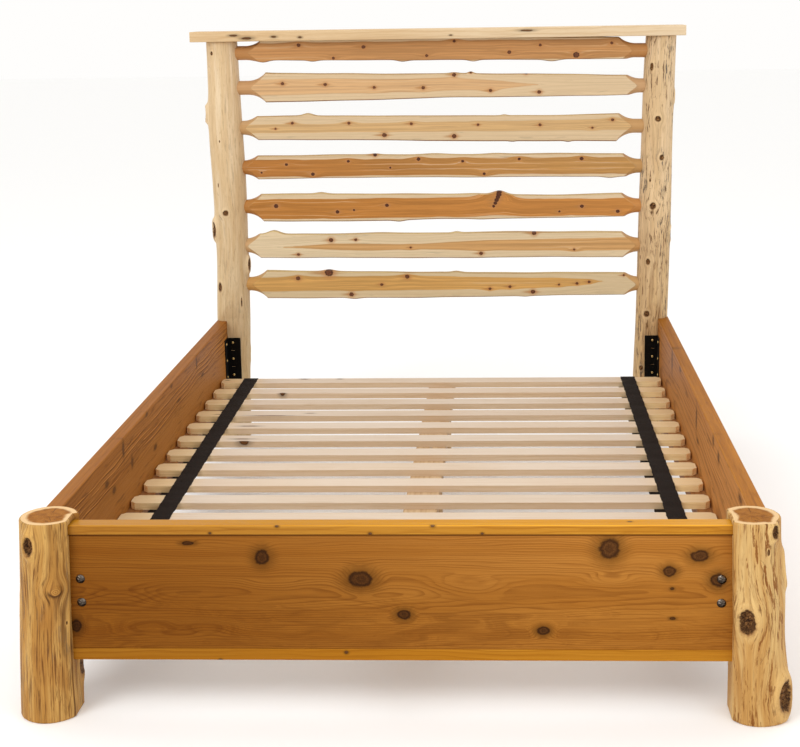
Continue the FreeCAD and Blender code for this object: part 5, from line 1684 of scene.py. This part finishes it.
PALE_SAP = (0.66, 0.5, 0.31)
KNOT_GROWTH = 1.3
HEAD_RAILS = {
    1: dict(
        upper=[1.05, 1.0, 0.98, 1.04, 1.03],
        lower=[0.62, 0.63, 0.73, 0.7, 0.68],
        gaps=(0.8, 0.5),
        bumps=(
            (-0.608, 0.025, -0.007), (-0.434, 0.02, -0.004), (-0.121, 0.022, -0.005),
            (0.125, 0.02, -0.005), (0.398, 0.03, -0.006),
        ),
        hearts=((-0.8, 0.0, 0.035), (0, 0.0, 0.034), (0.8, 0.0, 0.033)),
        tone=(0.57, 0.285, 0.105),
        knots=(
            (-0.481, 0.025, 0.005), (-0.255, 0.016, 0.005), (-0.361, -0.021, 0.004),
            (-0.036, -0.017, 0.004),
            (0.060, 0.032, 0.004), (0.250, -0.009, 0.005), (0.357, 0.014, 0.004),
            (0.481, -0.021, 0.008), (0.603, 0.018, 0.004),
        ),
    ),
    2: dict(
        upper=[1.18, 1.04, 0.98, 0.91, 0.84],
        lower=[1.15, 1.11, 0.92, 0.85, 0.7],
        gaps=(0.88, 0.14),
        bumps=((0.058, 0.02, 0.003), (0.116, 0.012, 0.006), (-0.63, 0.04, 0.003)),
        hearts=(
            (-0.8, 0.0, 0.03), (-0.45, 0.003, 0.027), (-0.1, 0.002, 0.023),
            (0.05, 0.005, 0.022), (0.2, 0.0, 0.016), (0.31, 0.0, 0.004), (0.4, 0.0, -0.003),
            (0.8, 0.0, -0.006),
        ),
        tone=(0.67, 0.41, 0.2),
        knots=(
            (-0.542, 0.014, 0.0045), (-0.392, 0.009, 0.0045), (-0.221, -0.003, 0.004),
            (-0.050, -0.006, 0.0045),
            (0.058, 0.037, 0.005), (0.116, 0.044, 0.003), (0.308, 0.042, 0.005),
            (0.184, -0.019, 0.0045), (0.353, -0.026, 0.005),
        ),
    ),
    3: dict(
        upper=[0.92, 0.9, 0.83, 0.85, 1.02],
        lower=[0.94, 1.0, 1.17, 1.19, 1.2],
        gaps=(0.4, 0.5),
        bumps=(
            (-0.457, 0.022, 0.008), (0.231, 0.012, 0.003), (0.258, 0.014, -0.002),
            (0.453, 0.014, -0.003),
        ),
        hearts=(
            (-0.8, -0.004, 0.016), (-0.4, -0.002, 0.015), (0, -0.002, 0.017),
            (0.4, -0.002, 0.018), (0.8, 0.0, 0.02),
        ),
        tone=(0.66, 0.42, 0.19),
        knots=(
            (-0.512, 0.016, 0.004), (-0.572, -0.003, 0.003), (-0.313, 0.014, 0.004),
            (-0.094, 0.009, 0.004), (-0.189, -0.029, 0.006),
            (0.139, 0.003, 0.0035), (0.355, 0.0, 0.004), (0.537, -0.012, 0.003),
            (0.607, 0.015, 0.004), (0.055, -0.036, 0.006),
        ),
    ),
    4: dict(
        upper=[0.96, 0.99, 0.89, 1.0, 1.0],
        lower=[0.9, 0.86, 0.92, 0.85, 0.8],
        gaps=(0.32, 0.18),
        bumps=(
            (-0.224, 0.02, 0.003), (-0.02, 0.05, 0.003), (0.2, 0.05, 0.003), (0.6, 0.03, -0.005)
        ),
        hearts=(
            (-0.8, -0.002, 0.031), (-0.4, -0.002, 0.03), (0, -0.002, 0.03),
            (0.4, -0.004, 0.031), (0.8, -0.004, 0.03),
        ),
        tone=(0.48, 0.185, 0.038),
        tints=((0.98, 1.02, 1.08), (1.16, 1.6, 2.45)),
        sap_tints=((1, 1, 1), (1.02, 1.05, 1.08)),
        knot_tone=(0.1, 0.035, 0.018),
        knots=(
            (-0.538, 0.011, 0.004), (-0.627, -0.017, 0.003), (-0.445, -0.024, 0.005),
            (-0.319, 0.020, 0.004), (-0.171, -0.004, 0.003),
            (-0.071, 0.025, 0.005), (-0.224, 0.042, 0.005), (0.084, 0.016, 0.004),
            (0.159, -0.029, 0.004), (0.282, 0.022, 0.004), (0.5, 0.021, 0.005),
        ),
    ),
    5: dict(
        upper=[1.07, 0.97, 0.94, 0.86, 0.96],
        lower=[1.17, 1.19, 1.1, 1.0, 0.82],
        gaps=(0.4, 0.24),
        bumps=(
            (-0.419, 0.024, 0.005), (0.212, 0.03, 0.0135), (0.13, 0.06, 0.0035),
            (0.62, 0.12, 0.0035), (-0.143, 0.022, -0.004), (0.15, 0.05, -0.003),
        ),
        hearts=(
            (-0.8, -0.006, 0.036), (-0.4, -0.008, 0.036), (0, -0.006, 0.036),
            (0.1, -0.005, 0.036), (0.2, 0.003, 0.041), (0.28, -0.008, 0.033),
            (0.4, -0.009, 0.032), (0.8, -0.01, 0.03),
        ),
        tone=(0.47, 0.185, 0.038),
        tints=((1.06, 1.12, 1.15), (1.3, 1.42, 1.7)),
        sap_tints=((1.05, 1.09, 1.12), (1.07, 1.11, 1.16)),
        knot_tone=(0.12, 0.04, 0.018),
        rings=1.5,
        knots=(
            (-0.58, 0.004, 0.006), (-0.362, -0.019, 0.005), (-0.303, -0.013, 0.003),
            (-0.186, 0.003, 0.005), (0.211, 0.046, 0.007), (0.21, 0.038, 0.007),
            (0.206, 0.028, 0.006), (0.202, 0.018, 0.006), (0.197, 0.007, 0.005),
            (0.191, -0.004, 0.004), (0.501, -0.007, 0.005), (0.627, -0.026, 0.005),
            (0.422, -0.025, 0.003),
        ),
    ),
    6: dict(
        upper=[0.94, 0.96, 0.94, 1.05, 1.1],
        lower=[0.96, 0.99, 1.1, 0.99, 0.97],
        gaps=(0.24, 0.16),
        bumps=(
            (-0.592, 0.028, 0.013), (-0.2, 0.07, 0.003), (0.059, 0.016, 0.004),
            (0.24, 0.09, 0.003),
        ),
        hearts=(
            (-0.8, -0.004, -0.006), (-0.62, -0.004, -0.003), (-0.54, -0.004, 0.001),
            (-0.42, -0.004, 0.009), (-0.28, -0.006, 0.013), (-0.1, -0.006, 0.009),
            (0.1, -0.004, 0.017), (0.3, -0.003, 0.02), (0.8, -0.002, 0.024),
        ),
        tone=(0.6, 0.32, 0.12),
        tints=((1.08, 1.16, 1.22), (1.08, 1.14, 1.18)),
        knots=(
            (-0.388, 0.020, 0.006), (-0.3, 0.021, 0.004), (-0.105, -0.009, 0.003),
            (-0.506, -0.031, 0.004), (0.333, 0.039, 0.006),
            (0.474, -0.021, 0.003), (0.145, -0.032, 0.005),
        ),
    ),
    7: dict(
        upper=[1.15, 1.01, 0.92, 0.91, 0.92],
        lower=[1.14, 1.12, 1.17, 0.97, 0.84],
        gaps=(0.5, 0.12),
        bumps=(
            (-0.31, 0.025, -0.004), (0.057, 0.02, 0.004), (-0.399, 0.025, 0.006),
            (0.3, 0.02, -0.002),
        ),
        hearts=(
            (-0.8, 0.0, 0.024), (-0.5, 0.002, 0.026), (0, 0.002, 0.025), (0.3, 0.0, 0.019),
            (0.45, 0.002, 0.014), (0.55, 0.004, 0.002), (0.62, 0.004, -0.003),
            (0.8, 0.0, -0.006),
        ),
        tone=(0.69, 0.37, 0.115),
        tints=((1.0, 1.05, 1.05), (1.0, 1.05, 1.05)),
        knots=(
            (-0.51, 0.023, 0.006), (-0.399, 0.043, 0.011), (-0.119, 0.026, 0.006),
            (-0.211, -0.002, 0.004), (-0.32, -0.037, 0.006), (0.175, -0.020, 0.004),
            (0.246, -0.013, 0.004), (0.328, -0.032, 0.006), (0.42, -0.007, 0.003),
            (0.484, -0.003, 0.004), (0.527, 0.002, 0.004), (0.649, 0.025, 0.003),
        ),
    ),
}
RAIL_AXES = (1.384, 1.263, 1.123, 0.983, 0.843, 0.703, 0.563)
# What a half log's knots look like where its own facts don't say.
KNOT_TONE = (0.2, 0.072, 0.03)
KNOT_RINGS = 7.0
for number, facts in HEAD_RAILS.items():
    axis_z = RAIL_AXES[number - 1]
    on_face = [((x, FACE_Y, axis_z + dz), r * KNOT_GROWTH) for x, dz, r in facts["knots"]]
    tints = facts.get("tints", ((1, 1, 1), (1, 1, 1)))
    sap_tints = facts.get("sap_tints", tints)
    knot_tone = facts.get("knot_tone", KNOT_TONE)
    looks = (tints, sap_tints, knot_tone, facts.get("rings", KNOT_RINGS))
    wood = half_log_wood(
        f"head_rail_{number}", number, facts["tone"], PALE_SAP, axis_z, on_face, *looks
    )
    log = half_log(
        f"half_log_{number}",
        axis_z,
        facts["upper"],
        facts["lower"],
        facts["gaps"],
        facts["bumps"],
        facts["hearts"],
        facts["knots"],
        number + 40,
        wood,
        HEAD_TOP_Z - 0.0005 if number == 1 else None,
    )
    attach(log, "root")
    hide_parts(f"head_rail_{number}")

# Cap dowels
# Beech pins that hold the cap on the posts.
DOWEL_TONES = ((0.6, 0.42, 0.26), (0.55, 0.37, 0.21), (0.42, 0.25, 0.12))
dowel_wood = sawn_board(
    "cap_dowels",
    seed=21,
    tones=DOWEL_TONES,
    plane="zxy",
    pith=(1.0, 0.7, 1.2),
    squash=0.05,
    band=0.003,
)
paint("cap_dowels", dowel_wood)

# Head cap
# A pale board laid on the posts, its front and rear edges left as the tree grew.
CAP_LOW, CAP_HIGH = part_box("head_cap")
CAP_EDGE_ROUND = 0.003
CAP_END_SHRINK = 0.985
CAP_STEPS = 260
# Where the cap's front edge dips in: place, half width and depth.
CAP_DIPS = ((-0.65, 0.03, 0.004), (0.31, 0.05, 0.002))


def natural_cap(material):
    """The cap as a closed skin of cross sections, its front edge wandering a few mm."""
    x = np.linspace(CAP_LOW.x, CAP_HIGH.x, CAP_STEPS)
    draw = np.random.default_rng(31)
    front = np.zeros(CAP_STEPS)
    rear = np.zeros(CAP_STEPS)
    for edge, depth in ((front, 0.0016), (rear, 0.003)):
        for wave in (2.3, 4.1, 7.7, 15, 31, 55):
            edge += depth / math.sqrt(wave / 2) * np.sin(wave * x + draw.uniform(0, 6.3))
        edge += depth * 2.2
    front = np.clip(front, 0.0002, 0.01)
    for place, wide, deep in CAP_DIPS:
        front = front + deep * np.exp(-(((x - place) / wide) ** 2))
    rear = np.clip(rear, 0.0002, 0.012)
    outline = []
    for corner_y, corner_z, turn in ((0, 0, 180), (0, 1, 90), (1, 1, 0), (1, 0, -90)):
        for angle in np.radians(np.linspace(turn + 90, turn, 5)):
            outline.append((corner_y, corner_z, math.cos(angle), math.sin(angle)))
    rows = []
    for index, place in enumerate(x):
        low_y, high_y = CAP_LOW.y + front[index], CAP_HIGH.y - rear[index]
        row = []
        for corner_y, corner_z, cos_a, sin_a in outline:
            side_y, side_z = (1 if corner_y else -1), (1 if corner_z else -1)
            y = (high_y if corner_y else low_y) + (cos_a - side_y) * CAP_EDGE_ROUND
            z = (CAP_HIGH.z if corner_z else CAP_LOW.z) + (sin_a - side_z) * CAP_EDGE_ROUND
            row.append((place, y, z))
        rows.append(row)
    rows = np.array(rows)
    middle = rows.mean(axis=1, keepdims=True)
    for end in (0, -1):
        rows[end] = middle[end] + (rows[end] - middle[end]) * CAP_END_SHRINK
    return skin("head_cap_board", rows, {}, end_rows=0, materials=(material,), sharp=30)


CAP_TONES = ((0.76, 0.58, 0.34), (0.68, 0.48, 0.25), (0.48, 0.28, 0.11))
CAP_FRONT_Y = 1.0095
# (x, height, half width, half height) of the marks on the cap's front edge.
CAP_MARKS = (
    (-0.70, 1.446, 0.012, 0.003),
    (-0.655, 1.436, 0.016, 0.004),
    (-0.56, 1.440, 0.008, 0.003),
    (-0.47, 1.437, 0.006, 0.003),
    (0.31, 1.449, 0.02, 0.003),
    (0.05, 1.437, 0.005, 0.002),
)
CAP_KNOTS = [
    ((x, CAP_FRONT_Y, z), (long, 0.02, high), 0.003) for x, z, long, high in CAP_MARKS
]
CAP_TINTS = (-0.7, 0.6, (0.9, 0.88, 0.9), (1.0, 1.08, 1.3))
cap = natural_cap(
    sawn_board(
        "head_cap",
        seed=23,
        tones=CAP_TONES,
        plane="xyz",
        pith=(0.2, 1.2, 1.3),
        knots=CAP_KNOTS,
        squash=0.03,
        band=0.012,
        late_share=0.35,
        tints=CAP_TINTS,
        gloss=0.14,
    )
)
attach(cap, "root")
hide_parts("head_cap")

# Slats
# Fourteen sawn pine slats with clipped corners, planed on top; their fronts and sides are
# painted darker as painted shade, and their ends lighter as painted light.
SLAT_TONES = ((0.7, 0.6, 0.5), (0.66, 0.535, 0.415), (0.5, 0.35, 0.21))
# Painted light at both ends of every slat, from 0.58 to 0.72 m out from the middle: tops
# painted yellower, fronts and sides painted lighter.
SLAT_TIP_LIGHT = (0.58, 0.72, (1.12, 1.0, 0.72), (1.5, 1.52, 1.2))
# Painted light on the slats' faces: tops as they are, fronts and sides painted darker as
# painted shade, end faces and clipped corners painted lighter.
SLAT_FACE_LIGHT = ((1, 1, 1), (0.92, 0.83, 0.7), (1.2, 1.2, 1.15))
SLAT_TOP_Z = 0.253
SLAT_MARKS = {
    1: (
        (-0.479, 0.905, 0.012, 0.004), (-0.352, 0.903, 0.008, 0.003),
        (-0.748, 0.892, 0.006, 0.003),
    ),
    2: ((-0.526, 0.712, 0.009, 0.004),),
    4: (
        (-0.522, 0.434, 0.05, 0.0022), (-0.398, 0.46, 0.012, 0.002),
        (-0.693, 0.451, 0.012, 0.002),
    ),
    5: ((-0.57, 0.314, 0.024, 0.003),),
    6: ((-0.568, 0.174, 0.024, 0.003), (-0.559, 0.149, 0.014, 0.004)),
    13: ((0.04, -0.8, 0.01, 0.003),),
}
for number in range(1, 15):
    name = f"slat_{number:02d}"
    middle_y = (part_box(name)[0].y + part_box(name)[1].y) / 2
    marks = [
        ((x, y, SLAT_TOP_Z), (long, high, 0.01), 0.003)
        for x, y, long, high in SLAT_MARKS.get(number, ())
    ]
    draw = np.random.default_rng(number + 60)
    pith = (draw.uniform(-0.6, 0.6), middle_y + draw.uniform(-0.06, 0.06), 0.2)
    tint = draw.uniform(0.94, 1.04)
    tones = [tuple(tint * c for c in tone) for tone in SLAT_TONES]
    wood = sawn_board(
        name,
        seed=number * 1.9,
        tones=tones,
        plane="xyz",
        pith=pith,
        knots=marks,
        squash=0.02,
        band=0.009,
        late_share=0.3,
        satin=0.6,
        faces=SLAT_FACE_LIGHT,
        tips=SLAT_TIP_LIGHT,
        gloss=0.14,
    )
    paint(name, wood)

# Straps
# Black woven webbing stapled to every slat, above and below, so that the slats roll up.
STRAP_WIDTH = 0.05
STRAP_THICK = 0.0016
STRAP_DIP = 0.0016
STRAPS = {
    "strap_left": (-0.667, -0.652, 0.253, 1),
    "strap_right": (0.653, 0.668, 0.253, 1),
    "under_strap_left": (-0.689, -0.689, 0.234, -1),
    "under_strap_right": (0.643, 0.643, 0.234, -1),
}
DECK_HEAD_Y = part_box("slat_01")[1].y
DECK_FOOT_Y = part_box("slat_14")[0].y
SLAT_PITCH = 0.1402
SLAT_WIDTH = 0.0635


def webbing():
    """Black polypropylene webbing: a fine herringbone weave, dusty on its high threads."""
    finish = Finish("black_webbing", rough=0.85, gloss=0.2)
    weave = finish.attribute("weave")["Vector"]
    across, along, _ = finish.parts(weave)
    warp = finish.calc("SINE", finish.times(across, 2 * math.pi / 0.0022))
    weft_phase = finish.plus(finish.times(along, 2 * math.pi / 0.0026), finish.times(warp, 1.5))
    weft = finish.calc("SINE", weft_phase)
    relief = finish.plus(finish.times(warp, 0.5), weft)
    dust = finish.cloud(finish.mapped(weave, (260, 90, 1)), 1, 4, 0.7)
    tone = finish.blend(
        finish.step(dust, 0.5, 0.68), (0.0078, 0.0039, 0.0026), (0.031, 0.0165, 0.0096)
    )
    tone = finish.blend(
        finish.times(finish.step(relief, 0.2, 1.4), 0.6), tone, (0.05, 0.03, 0.02)
    )
    return finish.done(tone, None, finish.bump(relief, 0.0005, 1.0))


webbing_black = webbing()
for name, (head_x, foot_x, level, up) in STRAPS.items():
    along = np.arange(DECK_HEAD_Y, DECK_FOOT_Y, -0.004)
    along = np.append(along, DECK_FOOT_Y)
    share = (DECK_HEAD_Y - along) / (DECK_HEAD_Y - DECK_FOOT_Y)
    middle = head_x + (foot_x - head_x) * share
    place = (DECK_HEAD_Y - along) % SLAT_PITCH
    gap = np.clip((place - SLAT_WIDTH) / (SLAT_PITCH - SLAT_WIDTH), 0, 1)
    dip = STRAP_DIP * np.sin(gap * math.pi) ** 2
    draw = np.random.default_rng(len(name))
    waver = 0.0006 * np.sin(90 * along + draw.uniform(0, 6)) + 0.0004 * np.sin(210 * along)
    columns = np.linspace(-0.5, 0.5, 22)
    loop = [(c, 1) for c in columns] + [(c, 0) for c in columns[::-1]]
    rows = []
    weave = []
    for index, y in enumerate(along):
        row = []
        thread = []
        for c, outer in loop:
            reach = (STRAP_WIDTH - 0.0012) * c + waver[index]
            thick = STRAP_THICK * (0.97 if abs(c) > 0.47 else 1.0)
            z = level + up * (0.0001 + outer * (thick - 0.0001) - dip[index])
            row.append((middle[index] + reach, y, z))
            thread.append((c * STRAP_WIDTH, y, outer))
        rows.append(row)
        weave.append(thread)
    rows, weave = np.array(rows), np.array(weave)
    if up < 0:
        rows, weave = rows[:, ::-1], weave[:, ::-1]
    strap = skin(
        f"web_{name}", rows, {"weave": weave}, end_rows=0, materials=(webbing_black,), sharp=60
    )
    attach(strap, "slat_roll")
    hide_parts(name)

# Strap staples
# Blackened staples across the webbing, two on every slat above and one below.
paint("strap_staples", metal("black_staples", (0.03, 0.028, 0.026), rough=0.5, metallic=0.6))
